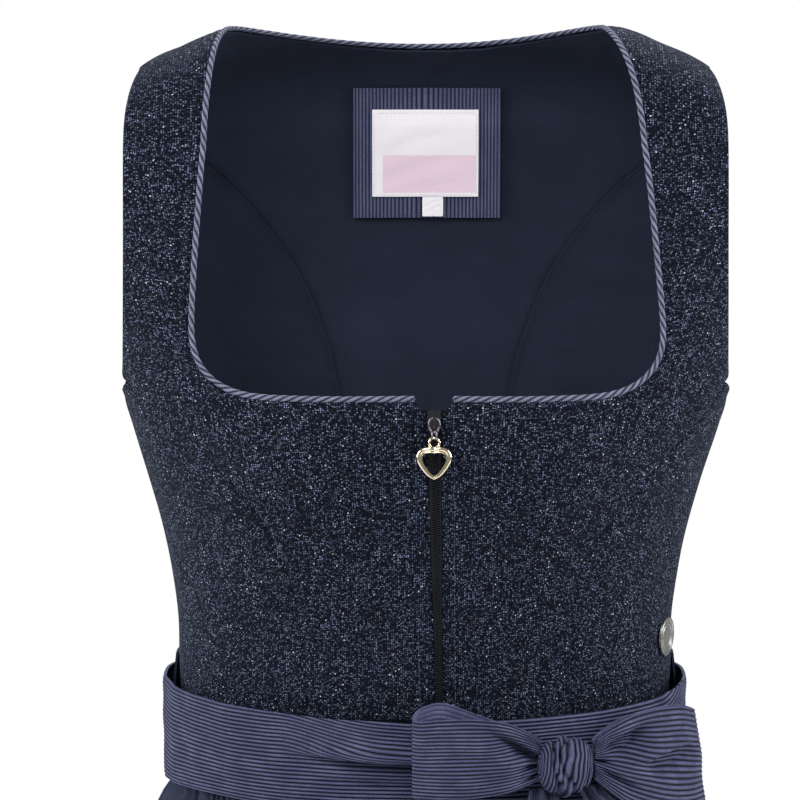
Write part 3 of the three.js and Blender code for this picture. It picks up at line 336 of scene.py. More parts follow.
# Back neckline from the middle to the neck point of one side
def back_neck(side, count):
    share = resample(np.concatenate([[0], BACK_NECK_ROWS[:, 0]])[:, None], count)[:, 0]
    share = np.clip(share, 0, 1)
    rise = NECK_BACK_DEPTH + (1 - NECK_BACK_DEPTH) * (1 - np.sqrt(1 - share * share))
    height = np.minimum(ROLL * (1 - rise), SEAM_STOP)
    neck_point = NECK_ROWS[-1, 1 if side == RIGHT else 2]
    turn = turn_at(True, side, neck_point * share, height)
    return np.stack([turn, height], 1)


def back_neck_whole(count, distance):
    right = back_neck(RIGHT, count)[::-1]
    right[:, 0] = np.where(right[:, 0] < 0, right[:, 0] + 2 * PI, right[:, 0])
    left = back_neck(LEFT, count)
    return beside(np.vstack([right[:-1], left]), distance)


# Grid of [turn, height] between two boundary lines, its columns closer together near both of them
def between(first, second, columns):
    share = np.linspace(0, 1, columns + 1)
    share = 0.45 * share + 0.55 * (0.5 - 0.5 * np.cos(PI * share))
    return first[:, None, :] + (second - first)[:, None, :] * share[None, :, None]


# Selects one object alone and makes it the active one
def pick(piece):
    bpy.ops.object.select_all(action="DESELECT")
    piece.select_set(True)
    bpy.context.view_layer.objects.active = piece


def apply_modifier(piece, kind, **values):
    pick(piece)
    modifier = piece.modifiers.new(kind.title(), kind)
    for key, value in values.items():
        setattr(modifier, key, value)
    bpy.ops.object.modifier_apply(modifier=modifier.name)


def smooth_shade(piece, angle=50):
    pick(piece)
    bpy.ops.object.shade_smooth_by_angle(angle=math.radians(angle))


# Cloth made from a grid primitive: points (rows, columns, 3) in millimetres and a flat pattern in metres
def cloth(name, points, pattern, thickness, wrap=False):
    rows, columns = points.shape[:2]
    bpy.ops.object.select_all(action="DESELECT")
    bpy.ops.mesh.primitive_grid_add(x_subdivisions=columns - 1, y_subdivisions=rows - 1, size=1)
    piece = bpy.context.object
    piece.name = name
    piece.data.name = name
    mesh = piece.data
    flat = np.empty(len(mesh.vertices) * 3)
    mesh.vertices.foreach_get("co", flat)
    flat = flat.reshape(-1, 3)
    column = np.rint((flat[:, 0] + 0.5) * (columns - 1)).astype(int)
    row = np.rint((flat[:, 1] + 0.5) * (rows - 1)).astype(int)
    mesh.vertices.foreach_set("co", (points[row, column] * MM).ravel())
    corners = np.empty(len(mesh.loops), int)
    mesh.loops.foreach_get("vertex_index", corners)
    layer = mesh.uv_layers[0] if mesh.uv_layers else mesh.uv_layers.new()
    layer.name = "pattern"
    layer.data.foreach_set("uv", pattern[row[corners], column[corners]].ravel())
    mesh.update()
    if wrap:
        bpy.ops.object.mode_set(mode="EDIT")
        bpy.ops.mesh.select_all(action="SELECT")
        bpy.ops.mesh.remove_doubles(threshold=1e-5)
        bpy.ops.mesh.normals_make_consistent(inside=False)
        bpy.ops.object.mode_set(mode="OBJECT")
    if thickness:
        apply_modifier(piece, "SOLIDIFY", thickness=thickness * MM, offset=-1, use_even_offset=False)
    smooth_shade(piece)
    return piece


# Flat pattern of a grid: distances along its rows and up its columns, in metres
def pattern_of(points):
    across = np.linalg.norm(np.diff(points, axis=1), axis=2)
    up = np.linalg.norm(np.diff(points, axis=0), axis=2)
    u = np.concatenate([np.zeros((len(points), 1)), np.cumsum(across, 1)], 1)
    v = np.concatenate([np.zeros((1, points.shape[1])), np.cumsum(up, 0)], 0)
    return np.stack([u, v], -1) * MM


# Cloth's flat coordinates on the bodice, from turn and height: arc length at bust level, and height
ARC_TURNS = np.linspace(-2 * PI, 2 * PI, 2001)
ARC_POINTS = body_point(ARC_TURNS, np.full(2001, -205.0))
ARC_LENGTHS = np.concatenate([[0], np.cumsum(np.linalg.norm(np.diff(ARC_POINTS, axis=0), axis=1))])


def body_pattern(grid):
    turn, height = grid[..., 0], grid[..., 1]
    if np.abs(turn).min() > 1.5:
        turn = turn % (2 * PI)
    u = np.interp(turn, ARC_TURNS, ARC_LENGTHS) - ARC_LENGTHS[1000]
    v = np.where(height > ROLL, ROLL + (height - ROLL) * 1.45, height)
    return np.stack([u, v], -1) * MM


# Distance in millimetres from each point of a grid to a line of points
def distance_to(points, line):
    flat = points.reshape(-1, 3)
    nearest = np.full(len(flat), 1e9)
    for part in np.array_split(line, 1 + len(line) // 60):
        gaps = np.linalg.norm(flat[:, None, :] - part[None], axis=2)
        nearest = np.minimum(nearest, gaps.min(1))
    return nearest.reshape(points.shape[:-1])


# Line of [turn, height] restated at a number of stations by its real length, closer at its ends if eased
def stationed(line, count, ease=0.0):
    points = body_point(line[:, 0], line[:, 1])
    length = np.concatenate([[0], np.cumsum(np.linalg.norm(np.diff(points, axis=0), axis=1))])
    share = np.linspace(0, 1, count)
    share = (1 - ease) * share + ease * (0.5 - 0.5 * np.cos(PI * share))
    return np.stack([np.interp(share * length[-1], length, line[:, k]) for k in (0, 1)], 1)


# Grid of [turn, height] spanned between four boundary lines, opposite ones with equally many stations
def spanned(left, right, bottom, top):
    t = np.linspace(0, 1, len(left))[:, None, None]
    s = np.linspace(0, 1, len(bottom))[None, :, None]
    across = left[:, None] * (1 - s) + right[:, None] * s
    up = bottom[None] * (1 - t) + top[None] * t
    corners = (bottom[0] * (1 - s) + bottom[-1] * s) * (1 - t) + (top[0] * (1 - s) + top[-1] * s) * t
    return across + up - corners


# Merges the grids of one cut piece, gives the cloth its thickness and smooths it
def sewn_up(name, parts, thickness):
    whole = parts[0]
    if len(parts) > 1:
        bpy.ops.object.select_all(action="DESELECT")
        for part in parts:
            part.select_set(True)
        bpy.context.view_layer.objects.active = whole
        bpy.ops.object.join()
        bpy.ops.object.mode_set(mode="EDIT")
        bpy.ops.mesh.select_all(action="SELECT")
        bpy.ops.mesh.remove_doubles(threshold=2e-5)
        bpy.ops.object.mode_set(mode="OBJECT")
    whole.name = name
    whole.data.name = name
    apply_modifier(whole, "SOLIDIFY", thickness=thickness * MM, offset=-1, use_even_offset=False)
    smooth_shade(whole)
    return whole


# Panel of the bodice over grids of [turn, height]. Each edge is a line with the depth that the cloth rolls
# in along it, and the distance and depth of the pressed or stitched line beside it.
def bodice_panel(name, grids, outer, thickness, creases, seed, edges, wrinkles=0.0):
    parts = []
    for grid in grids:
        base = body_point(grid[..., 0], grid[..., 1])
        lift = np.full(base.shape[:2], float(outer))
        free = np.full(base.shape[:2], 12.0)
        for line, roll, inset, press in edges:
            fine = stationed(line, 500)
            away = distance_to(base, body_point(fine[:, 0], fine[:, 1]))
            lift -= roll * np.exp(-((away / 1.5) ** 2)) + press * np.exp(-(((away - inset) / 0.9) ** 2))
            free = np.minimum(free, away)
        x, y, z = (base[..., k] for k in range(3))
        lift += creases * ripple(seed, x / 70, y / 70, z / 110) * free / 12
        lift += creases * 0.35 * ripple(seed + 1, x / 22, y / 22, z / 60) * free / 12
        if wrinkles:
            sharp = np.exp(-3.5 * np.abs(ripple(seed + 2, x / 60, y / 60, z / 34)))
            lift -= wrinkles * sharp * free / 12 * (0.6 + 0.4 * ripple(seed + 3, x / 80, y / 80, z / 80))
        points, pattern = off_body(grid[..., 0], grid[..., 1], lift), body_pattern(grid)
        if grid[0, 0, 0] > grid[0, -1, 0]:
            points, pattern = points[:, ::-1], pattern[:, ::-1]
        parts.append(cloth(name, points, pattern, 0))
    return sewn_up(name, parts, thickness)


# Front centre panel: the breast below the neckline, and the strap from the neckline's corner up
def front_centre_lines(side):
    neck = beside(front_neck(side, 260), -side * PIPING_ROOM)
    return {
        "zip": np.vstack([zip_edge(side, 70), neck[:1]]),
        "neck": neck,
        "seam": beside(front_seam(side, 90), side * SEAM / 2),
        "arm": arm_edge(False, side, resample(FRONT_ARM_HEIGHTS[:, None], 130)[:, 0]),
    }


def front_centre_grids(lines):
    neck, seam = lines["neck"], lines["seam"]
    corner = int(np.argmax(neck[:, 1] > NECK_CORNER))
    strap = between(
        stationed(neck[corner:], 130), stationed(np.vstack([seam[-1:], lines["arm"]]), 130), 44,
    )
    top = np.vstack([stationed(neck[: corner + 1], 80), strap[0, 1:]])
    bottom = stationed(np.vstack([lines["zip"][:1], seam[:1]]), len(top), 0.5)
    breast = spanned(stationed(lines["zip"], 110, 0.4), stationed(seam, 110, 0.4), bottom, top)
    return [breast, strap]


def front_side_lines(side):
    return {
        "seam": beside(front_seam(side, 90), -side * SEAM / 2),
        "side": side_seam(False, side, resample(FRONT_SEAM_ROWS[:, 3:4], 90)[:, 0]),
    }


def back_side_lines(side):
    heights = resample(BACK_SEAM_ROWS[:, 3:4], 120)[:, 0]
    low = side_seam(True, side, np.minimum(heights, UNDERARM))
    high = arm_edge(True, side, heights)
    return {
        "seam": beside(back_seam(side, 120), side * SEAM / 2),
        "side": np.where(heights[:, None] <= UNDERARM, low, high),
    }


# Half of the back centre panel, from the middle and the neckline out to the seam and the armhole
def back_centre_lines(side):
    half = 65
    whole = back_neck_whole(half, PIPING_ROOM)
    neck = whole[:half][::-1].copy() if side == RIGHT else whole[half - 1 :].copy()
    if side == RIGHT:
        neck[:, 0] -= 2 * PI
    neck[0, 0] = side * PI
    return {
        "neck": neck,
        "seam": beside(back_seam(side, 145), -side * SEAM / 2),
        "arm": arm_edge(True, side, resample(BACK_NECK_ROWS[:, 1:2], 57)[:, 0]),
    }


def back_centre_grid(side, lines):
    neck, seam = lines["neck"], lines["seam"]
    middle_heights = resample(BACK_SEAM_ROWS[:11, 2:3], 121)[:, 0]
    rising = np.linspace(middle_heights[-1], neck[0, 1], 13)[1:-1]
    heights = np.concatenate([middle_heights, rising])
    middle = np.stack([np.full(len(heights), side * PI), heights], 1)
    corner = seam[np.linspace(134, 144, 7).astype(int)]
    return between(np.vstack([middle, neck]), np.vstack([seam[:133], corner, lines["arm"]]), 44)


def hoop(section, turn, z, out):
    half, front, back, power = section

    def at(angle):
        sine, cosine = np.sin(angle), np.cos(angle)
        x = half * np.sign(sine) * np.abs(sine) ** (2 / power)
        depth = np.where(cosine < 0, back, front)
        return np.stack([x, -depth * np.sign(cosine) * np.abs(cosine) ** (2 / power)], -1)

    step = 1e-3
    travel = unit(at(turn + step) - at(turn - step))
    place = at(turn)
    return np.stack([place[..., 0] + travel[..., 1] * out, place[..., 1] - travel[..., 0] * out, z], -1)


def skirt_value(z, column):
    return smooth(SKIRT_ROWS[:, 0], SKIRT_ROWS[:, column], z)


def skirt_section(z):
    return tuple(skirt_value(z, column) for column in (1, 2, 3, 4))


def fold_wave(turn):
    phase = FOLDS_ROUND * turn + 0.35 * (1 - np.cos(4 * turn))
    return np.cos(phase) * (1 + 0.22 * np.sin(3 * turn + 1))


def rise_between(value, start, end):
    t = np.clip((value - start) / (end - start), 0, 1)
    return t * t * (3 - 2 * t)


# Gathered cloth between two turns, hung from the waist: small pleats at the top melt into large folds
def gathered(name, start, end, hem, top, pleats, depth, apart, thickness, seed):
    columns = int(pleats * 9) + 1
    rows = np.concatenate([
        np.linspace(hem, -600, 40, endpoint=False), np.linspace(-600, -410, 34, endpoint=False),
        np.linspace(-410, top, 15),
    ])
    turn, z = np.meshgrid(np.linspace(start, end, columns), rows)
    share = (turn - start) / (end - start)
    settle = np.clip(np.minimum(share, 1 - share) * pleats / 1.5, 0, 1)
    wander = 0.45 * ripple(seed, share * pleats / 7, z / 420)
    wander = wander + 0.12 * ripple(seed + 1, share * pleats / 3, z / 160)
    phase = share * pleats + wander
    soft = np.cos(2 * PI * phase) + 0.3 * np.cos(2 * PI * (phase * 2 + 0.3 * wander) + 1)
    pinched = 2.5 * (np.abs(np.cos(PI * phase)) ** 0.8 - 0.68)
    pleat = soft + (pinched - soft) * np.exp(-(((z + 391) / 45) ** 2))
    tall = depth * skirt_value(z, 5) * (1 + 0.4 * ripple(seed + 2, share * pleats / 2.2, z / 300))
    middle = np.exp(-(((z + 500) / 130) ** 2))
    broad = 1.5 * middle * ripple(seed + 3, share * pleats / 6, z / 700)
    out = tall * pleat * settle + skirt_value(z, 6) * fold_wave(turn) + broad * settle
    if apart:
        out = out + skirt_value(z, 7)
    points = hoop(skirt_section(z), turn, z, out)
    return cloth(name, points, pattern_of(points), thickness)


# Ribbed cloth's ridges, one for each whole number of ribs
def ribs(number, tall):
    return tall * (np.abs(np.cos(PI * number)) - 0.64)


def valley(value, middle, width):
    return np.exp(-(((value - middle) / width) ** 2))


# Band round the waist: near the bow its ribs are drawn down into one deep fold, its seam under a loop
def band():
    turn, share = np.meshgrid(
        np.linspace(BAND_SEAM + BAND_SEAM_HALF - 2 * PI, BAND_SEAM - BAND_SEAM_HALF, 310),
        np.linspace(0, 1, BAND_RIBS * 6 + 1),
    )
    from_knot = np.abs((turn - KNOT_TURN + PI) % (2 * PI) - PI)
    drawn = rise_between(from_knot, FOLD_STARTS, FOLD_FULL)
    number = BAND_RIBS * share + 4.5 * drawn * rise_between(share, 0.5, 0.66)
    top = BAND_TOP - BAND_DROP * np.maximum(np.cos(turn), 0) ** 2 - 1.4 * valley(turn, 0.02, 0.1)
    bottom = BAND_BOTTOM + BAND_LIFT * valley(turn, BAND_LIFT_TURN, BAND_LIFT_SPREAD)
    z = bottom + (top - bottom) * share
    around = (np.cos(turn), np.sin(turn), share * 0.6)
    z = z + 1.6 * ripple(4, *around) * 4 * share * (1 - share)
    fold = BAND_FOLD_Z + 5 * (from_knot - 0.46)
    above = z - fold
    bulge = rise_between(above, -1.2, 1.6) * np.exp(-np.maximum(above, 0) / FOLD_SOFTNESS)
    out = drawn * (FOLD_BULGE * bulge - 1.5 * valley(above, -1.8, 2.4) + 2.2 * valley(above, -8, 4))
    out = out - 1.6 * drawn * valley(z, fold - 14 + 6 * (from_knot - 0.46), 2.0)
    z = z - FOLD_SAG * drawn * bulge * valley(above, 2, 4)
    edges = valley(share, 1, 0.04) + valley(share, 0, 0.04)
    out = out + ribs(number, 0.55) * (1 - 0.6 * edges) - 0.5 * edges
    out = out + 0.35 * ripple(7, *(3 * v for v in around))
    points = hoop(BAND_SECTION, turn, z, out)
    pattern = np.stack([turn * 0.115, number * RIB_PITCH * MM], -1)
    return cloth("band_cloth", points, pattern, BAND_CLOTH)


# Bow loops by stations from the knot out and back: turn, distance out, top, bottom, belly, flare
LOOP_RIGHT = np.array([
    (0.345, 4.5, -354, -374, 0, 0), (0.27, 3.6, -347, -379, 0, 0), (0.15, 3.6, -340, -382, 0, 0),
    (0.04, 3.6, -333.5, -384, 0, 0), (-0.01, 4.6, -336, -383, 0, 0), (-0.03, 7.4, -341, -381, 0.4, 0),
    (-0.012, 10.6, -342, -380.5, 0.6, 0), (0.03, 13.6, -340.5, -380.5, 1.2, 0),
    (0.12, 16, -339.5, -380, 1.8, 0), (0.22, 16.4, -341.5, -377.5, 1.8, 0),
    (0.3, 14.4, -347, -374, 1, 0), (0.352, 12, -352, -372, 0, 0),
])
LOOP_LEFT = np.array([
    (0.575, 12, -353, -373, 0, 0), (0.64, 14.5, -347, -381, 0.6, 0), (0.74, 15, -342.5, -390, 1.4, 0),
    (0.88, 14, -341, -397, 1.8, 2), (1.04, 12.5, -343, -401, 1.6, 4), (1.18, 10.6, -347, -402.5, 1, 5.5),
    (1.265, 8.6, -349.5, -403, 0.4, 6.5), (1.29, 6.6, -349.5, -402.5, 0, 7),
    (1.26, 4.6, -348, -389, 0, 0), (1.15, 3.8, -345, -388.5, 0, 0), (0.95, 3.6, -343, -388, 0, 0),
    (0.76, 3.6, -345, -384, 0, 0), (0.64, 4, -350, -378, 0, 0), (0.585, 4.5, -355, -374, 0, 0),
])
# Hollows pressed into the loops' front layers: turn, its spread, share of the height, its spread, rise
# of the hollow for each unit of turn, depth
HOLLOWS_RIGHT = (
    (0.285, 0.085, 0.64, 0.2, -1.6, 6.0), (0.33, 0.05, 0.32, 0.07, 0.2, 3.2),
    (0.335, 0.045, 0.14, 0.06, 0.8, 2.4),
)
HOLLOWS_LEFT = (
    (0.71, 0.085, 0.74, 0.2, 0.9, 7.0), (0.6, 0.035, 0.42, 0.08, 0, 3.0), (0.98, 0.16, 0.56, 0.13, 0.5, 5.5),
    (0.66, 0.07, 0.26, 0.07, -0.5, 2.6),
)
HOLLOW_DEPTH, HOLLOW_DRAW, LOOP_ROOM = 1.9, 0.4, 6.5


def bow_loop(name, stations, hollows, seed):
    fine = resample(stations, 190)
    share = np.linspace(0, 1, LOOP_RIBS * 7 + 1)[:, None]
    turn, out, top, bottom, belly, flare = (fine[:, k][None, :] for k in range(6))
    front = rise_between(out, 7, 11.5)
    knot_near = np.exp(-((np.abs(turn - KNOT_TURN) - 0.1) / 0.2) ** 2)
    bulge = 1.5 * belly * np.sin(PI * share) + flare * (1 - share)
    pressed = 0
    drawn = 0
    for middle, spread, level, height, climb, depth in hollows:
        line = level + climb * (turn - middle)
        above = (share - line) / height
        place = valley(turn, middle, spread) * np.exp(-np.where(above > 0, 7, 1) * above**2) * front
        pressed = pressed + HOLLOW_DEPTH * depth * place
        drawn = drawn + HOLLOW_DRAW * place * (line - share)
    pressed = np.minimum(pressed, np.maximum(out - LOOP_ROOM, 0))
    pleat = knot_near * 0.9 * np.cos(2 * PI * share * 3.2 + seed)
    soft = 0.8 * ripple(seed, turn * 2.5, share * 1.6)
    bent = share + drawn + 0.008 * ripple(seed + 3, turn * 2.5, share * 2) * np.sin(PI * share)
    distance = out + bulge - pressed + pleat + soft * 0.6 + ribs(share * LOOP_RIBS, 0.5)
    z = bottom + (top - bottom) * bent
    points = hoop(BAND_SECTION, np.broadcast_to(turn, z.shape), z, distance)
    length = pattern_of(points)[..., 0]
    pattern = np.stack([length, np.broadcast_to(share * LOOP_RIBS * RIB_PITCH * MM, z.shape)], -1)
    return cloth(name, points, pattern, BAND_CLOTH)


# Bow tails by stations down the apron: height, middle, half breadth, distance out
TAIL_RIGHT = np.array([
    (-377.6, 58, 7, 9), (-391.5, 56, 9, 16), (-410, 55, 12, 13), (-450, 56, 17, 13), (-520, 60, 21, 16),
    (-620, 66, 24, 19), (-720, 72, 26, 21), (-800, 76, 27, 23),
])
TAIL_LEFT = np.array([
    (-377.6, 81, 6, 8.4), (-391.5, 88, 9, 14.4), (-412, 96, 13, 12.6), (-450, 106, 18, 13),
    (-520, 118, 22, 16), (-620, 132, 25, 19), (-700, 142, 27, 21), (-770, 150, 28, 23),
])
TAIL_SLANT = 16
TAIL_WAVE = 2.2


def bow_tail(name, stations, phase, seed):
    fine = resample(stations, 140)[::-1]
    share = np.linspace(0, 1, BAND_RIBS * 6 + 1)[None, :]
    z, middle, half, out = (fine[:, k][:, None] for k in range(4))
    on_band = z > BAND_BOTTOM
    spread = half / stations[-1, 2]
    sections = [np.where(on_band, b, s) for b, s in zip(BAND_SECTION, skirt_section(z))]
    x = middle + half * (2 * share - 1)
    turn = np.arcsin(np.minimum(x / sections[0], 1) ** (sections[3] / 2))
    wave = TAIL_WAVE * spread * np.cos(2 * PI * (share + phase) + (z - z[0]) / 50)
    fold = 2.4 * (1 - spread) * np.cos(2 * PI * share * 2.5 + phase)
    slant = TAIL_SLANT * share * np.clip(1 - (z - z[0]) / 60, 0, 1)
    height = np.broadcast_to(z, turn.shape) + slant
    distance = out + wave + fold + ribs(share * BAND_RIBS, 0.45) + 0.5 * ripple(seed, z / 90, share)
    shaped = [np.broadcast_to(s, turn.shape) for s in sections]
    points = hoop(shaped, turn, height, distance)
    length = pattern_of(points)[..., 1]
    pattern = np.stack([length, np.broadcast_to(share * BAND_RIBS * RIB_PITCH * MM, turn.shape)], -1)
    return cloth(name, points, pattern, BAND_CLOTH)


# Knot: a ball whose poles point sideways, squared up, ribbed round and creased by the wrap over it
KNOT_HALF_ACROSS, KNOT_HALF_TALL, KNOT_HALF_DEEP = 14.2, 13.4, 8.2


def knot():
    bpy.ops.object.select_all(action="DESELECT")
    bpy.ops.mesh.primitive_uv_sphere_add(segments=180, ring_count=170, radius=1)
    piece = bpy.context.object
    piece.name = "knot_cloth"
    mesh = piece.data
    co = np.empty(len(mesh.vertices) * 3)
    mesh.vertices.foreach_get("co", co)
    co = co.reshape(-1, 3)
    pole, front, up = co[:, 2], co[:, 0], co[:, 1]
    ring = np.arccos(np.clip(pole, -1, 1)) / PI
    turn, height = np.array(KNOT_TURN - 0.016), np.array(KNOT_Z - 2.2)
    centre = hoop(BAND_SECTION, turn, height, np.array(11.8 + GAP))
    out = unit(hoop(BAND_SECTION, turn, height, np.array(12.8 + GAP)) - centre)
    across = np.array([-out[1], out[0], 0])
    signed = [np.sign(v) * np.abs(v) ** 0.75 for v in (pole, up, front)]
    angle = np.arctan2(up, front)
    lean = ring + 0.045 * np.sin(angle + 0.4) + 0.006 * ripple(95, ring * 3, np.cos(angle), np.sin(angle))
    number = lean * KNOT_RIBS
    sway = 0.05 * np.sin(2 * angle + 0.6)
    crease = -2.6 * valley(ring, 0.62 + sway, 0.03) - 1.9 * valley(ring, 0.52 + 1.4 * sway, 0.022)
    crease = crease - 1.5 * valley(ring, 0.27 - sway, 0.028) + 1.3 * valley(ring, 0.57 + 1.2 * sway, 0.03)
    swell = 1 + (ribs(number, 0.75) + crease) / 11 * np.sin(ring * PI) ** 0.5
    pinch = 1 - 0.07 * np.cos(angle * 2)
    points = (
        centre + signed[0][:, None] * across * KNOT_HALF_ACROSS
        + (signed[1] * swell * pinch * KNOT_HALF_TALL)[:, None] * np.array([0, 0, 1])
        + (signed[2] * swell * KNOT_HALF_DEEP)[:, None] * out
    )
    mesh.vertices.foreach_set("co", (points * MM).ravel())
    corners = np.empty(len(mesh.loops), int)
    mesh.loops.foreach_get("vertex_index", corners)
    layer = mesh.uv_layers[0]
    layer.name = "pattern"
    pattern = np.stack([angle * 11 * MM, number * RIB_PITCH * MM], 1)
    layer.data.foreach_set("uv", pattern[corners].ravel())
    mesh.update()
    pick(piece)
    bpy.ops.object.mode_set(mode="EDIT")
    bpy.ops.mesh.select_all(action="SELECT")
    bpy.ops.mesh.normals_make_consistent(inside=False)
    bpy.ops.object.mode_set(mode="OBJECT")
    smooth_shade(piece, 60)
    return piece


# Round cord along a path of points with its outward directions, its surface twisted like rope
def twisted(name, points, outward, across_radius, out_radius, strands, lay):
    points = np.asarray(points)
    travel = np.gradient(points, axis=0)
    across = unit(np.cross(travel, outward))
    length = np.concatenate([[0], np.cumsum(np.linalg.norm(np.diff(points, axis=0), axis=1))])
    sides = 20
    angle = np.linspace(0, 2 * PI, sides + 1)[None, :]
    twist = strands * angle - 2 * PI * length[:, None] / lay
    swell = 1 + 0.16 * (np.abs(np.cos(twist / 2)) - 0.64)
    close = np.clip(np.minimum(length, length[-1] - length) / 0.8, 0, 1)[:, None] ** 0.5
    ring = (
        points[:, None, :]
        + across[:, None, :] * (across_radius * np.cos(angle) * swell * close)[..., None]
        + outward[:, None, :] * (out_radius * np.sin(angle) * swell * close)[..., None]
    )
    pattern = np.stack([np.broadcast_to(length[:, None] * MM, twist.shape), twist / (2 * PI) * 0.001], -1)
    return cloth(name, ring, pattern, 0, wrap=True)


def piping(name, line):
    points = off_body(line[:, 0], line[:, 1], np.full(len(line), -BODICE_CLOTH / 2))
    per_turn, per_height = body_slopes(line[:, 0], line[:, 1])
    outward = unit(np.cross(per_turn, per_height))
    return twisted(name, points, outward, PIPING_ACROSS / 2, PIPING_THICK / 2, 3, 5.4)


def front_piping(side):
    return beside(front_neck(side, 420), -side * PIPING_ACROSS / 2)


# Flat piece inside the back, by its edges in millimetres, between two distances from the bodice's face
def inside_back(name, x_from, x_to, top, bottom, outer, thickness, wave):
    heights = np.linspace(bottom, top, 50)
    lines = []
    for x in (x_to, x_from):
        turn = turn_at(True, LEFT, np.full(50, float(x)), heights)
        lines.append(np.stack([np.where(turn < 0, turn + 2 * PI, turn), heights], 1))
    share = np.linspace(0, 1, 61)
    grid = lines[0][:, None, :] + (lines[1] - lines[0])[:, None, :] * share[None, :, None]
    across, up = np.meshgrid(np.linspace(-1, 1, 61), np.linspace(-1, 1, 50))
    puff = wave * (1 - across**4) * (1 - up**4) * (0.7 + 0.3 * ripple(31, across, up))
    points = off_body(grid[..., 0], grid[..., 1], outer - puff)
    pattern = np.stack([
        np.broadcast_to(x_to + (x_from - x_to) * share, (50, 61)),
        np.broadcast_to(heights[:, None], (50, 61)),
    ], -1) * MM
    return cloth(name, points, pattern, thickness)


# Copies of one small shape, each set at its own place, joined into one piece
def repeated(name, model, places):
    copies = []
    for place in places:
        made = model.copy()
        made.data = model.data.copy()
        made.data.transform(place)
        bpy.context.collection.objects.link(made)
        copies.append(made)
    bpy.data.objects.remove(model)
    bpy.ops.object.select_all(action="DESELECT")
    for made in copies:
        made.select_set(True)
    bpy.context.view_layer.objects.active = copies[0]
    bpy.ops.object.join()
    whole = bpy.context.object
    whole.name = name
    whole.data.name = name
    return whole


# Places along a line of points: each turned so that its z runs along the line and its y outward
def places_along(points, outward, pitch, start=0.0):
    length = np.concatenate([[0], np.cumsum(np.linalg.norm(np.diff(points, axis=0), axis=1))])
    places = []
    for at in np.arange(start + pitch / 2, length[-1], pitch):
        middle, before, after, out = (
            np.array([np.interp(spot, length, values[:, k]) for k in range(3)])
            for spot, values in ((at, points), (at - 0.3, points), (at + 0.3, points), (at, outward))
        )
        travel = unit(after - before)
        across = unit(np.cross(out, travel))
        axes = Matrix(np.stack([across, np.cross(travel, across), travel], 1)).to_4x4()
        places.append(Matrix.Translation(middle * MM) @ axes)
    return places


# Runs of hand-sized stitches, each a slim pill sunk a little into the cloth
def stitches(name, runs, long=2.1, gap=0.9, radius=0.2):
    bpy.ops.object.select_all(action="DESELECT")
    bpy.ops.mesh.primitive_uv_sphere_add(segments=8, ring_count=6, radius=1)
    model = bpy.context.object
    model.scale = (radius * MM, radius * 0.8 * MM, long / 2 * MM)
    bpy.ops.object.transform_apply(location=False, rotation=False, scale=True)
    bpy.ops.object.shade_smooth()
    places = [place for points, outward in runs for place in places_along(points, outward, long + gap)]
    return repeated(name, model, places)


def outward_of(line):
    per_turn, per_height = body_slopes(line[:, 0], line[:, 1])
    return unit(np.cross(per_turn, per_height))


# Coil teeth: two rows of short bars that meet in the middle of the opening
def coil_teeth():
    heights = np.linspace(-344.5, -197.5, 240)
    places = []
    for edge in (-1, 1):
        x = smooth(CENTRE_ROWS[:, 0], CENTRE_ROWS[:, 1], heights) + edge * 0.85
        line = np.stack([turn_at(False, LEFT, x, heights), heights], 1)
        points = off_body(line[:, 0], line[:, 1], np.full(len(line), 0.1))
        places += places_along(points, outward_of(line), TOOTH_PITCH, 0 if edge < 0 else TOOTH_PITCH / 2)
    bpy.ops.object.select_all(action="DESELECT")
    bpy.ops.mesh.primitive_cube_add(size=1)
    model = bpy.context.object
    model.scale = (2.0 * MM, 0.9 * MM, 0.72 * MM)
    bpy.ops.object.transform_apply(location=False, rotation=False, scale=True)
    apply_modifier(model, "BEVEL", width=0.22 * MM, segments=1)
    bpy.ops.object.shade_smooth()
    return repeated("zip_teeth", model, places)


# Closed ring of a shaped bar: rows of points round the bar at each station of the ring
def closed_ring(name, points):
    points = np.concatenate([points, points[:1]])
    points = np.concatenate([points, points[:, :1]], 1)
    return cloth(name, points, pattern_of(points), 0, wrap=True)


# Smooth closed line through mirrored half-outline points, from the top dip to the lower tip
def mirrored(half, count):
    half = np.array(half)
    line = resample(half, count)
    return np.concatenate([line, line[::-1][1:-1] * (-1, 1)])


# Pendant heart: a bar between two outlines with a raised inner lip and a sloping outer face, and its bail
def pendant():
    outer = mirrored(HEART_OUTER, 60)
    inner = mirrored(HEART_INNER, 60)
    f, deep = np.array(HEART_PROFILE).T
    flat = inner[:, None, :] + (outer - inner)[:, None, :] * f[None, :, None]
    points = np.stack([
        HINGE_X + flat[..., 0], PULL_FORWARD - np.broadcast_to(deep, flat.shape[:2]), HEART_Z + flat[..., 1],
    ], -1)
    heart = closed_ring("heart_body", points)
    bail = oval_ring("heart_bail", (HINGE_X, PULL_FORWARD, BAIL_Z), 2.6, 2.5, 0.62)
    return sewn_rings("heart_pendant", heart, bail)


def oval_ring(name, middle, half_across, half_up, bar, side_on=False):
    around = np.linspace(0, 2 * PI, 64, endpoint=False)[:, None]
    section = np.linspace(0, 2 * PI, 14, endpoint=False)[None, :]
    reach = bar * np.cos(section)
    flat = np.stack([(half_across + reach) * np.cos(around), (half_up + reach) * np.sin(around)], -1)
    deep = np.broadcast_to(bar * np.sin(section), flat.shape[:2])
    order = (deep, flat[..., 0], flat[..., 1]) if side_on else (flat[..., 0], deep, flat[..., 1])
    return closed_ring(name, np.stack([m + v for m, v in zip(middle, order)], -1))


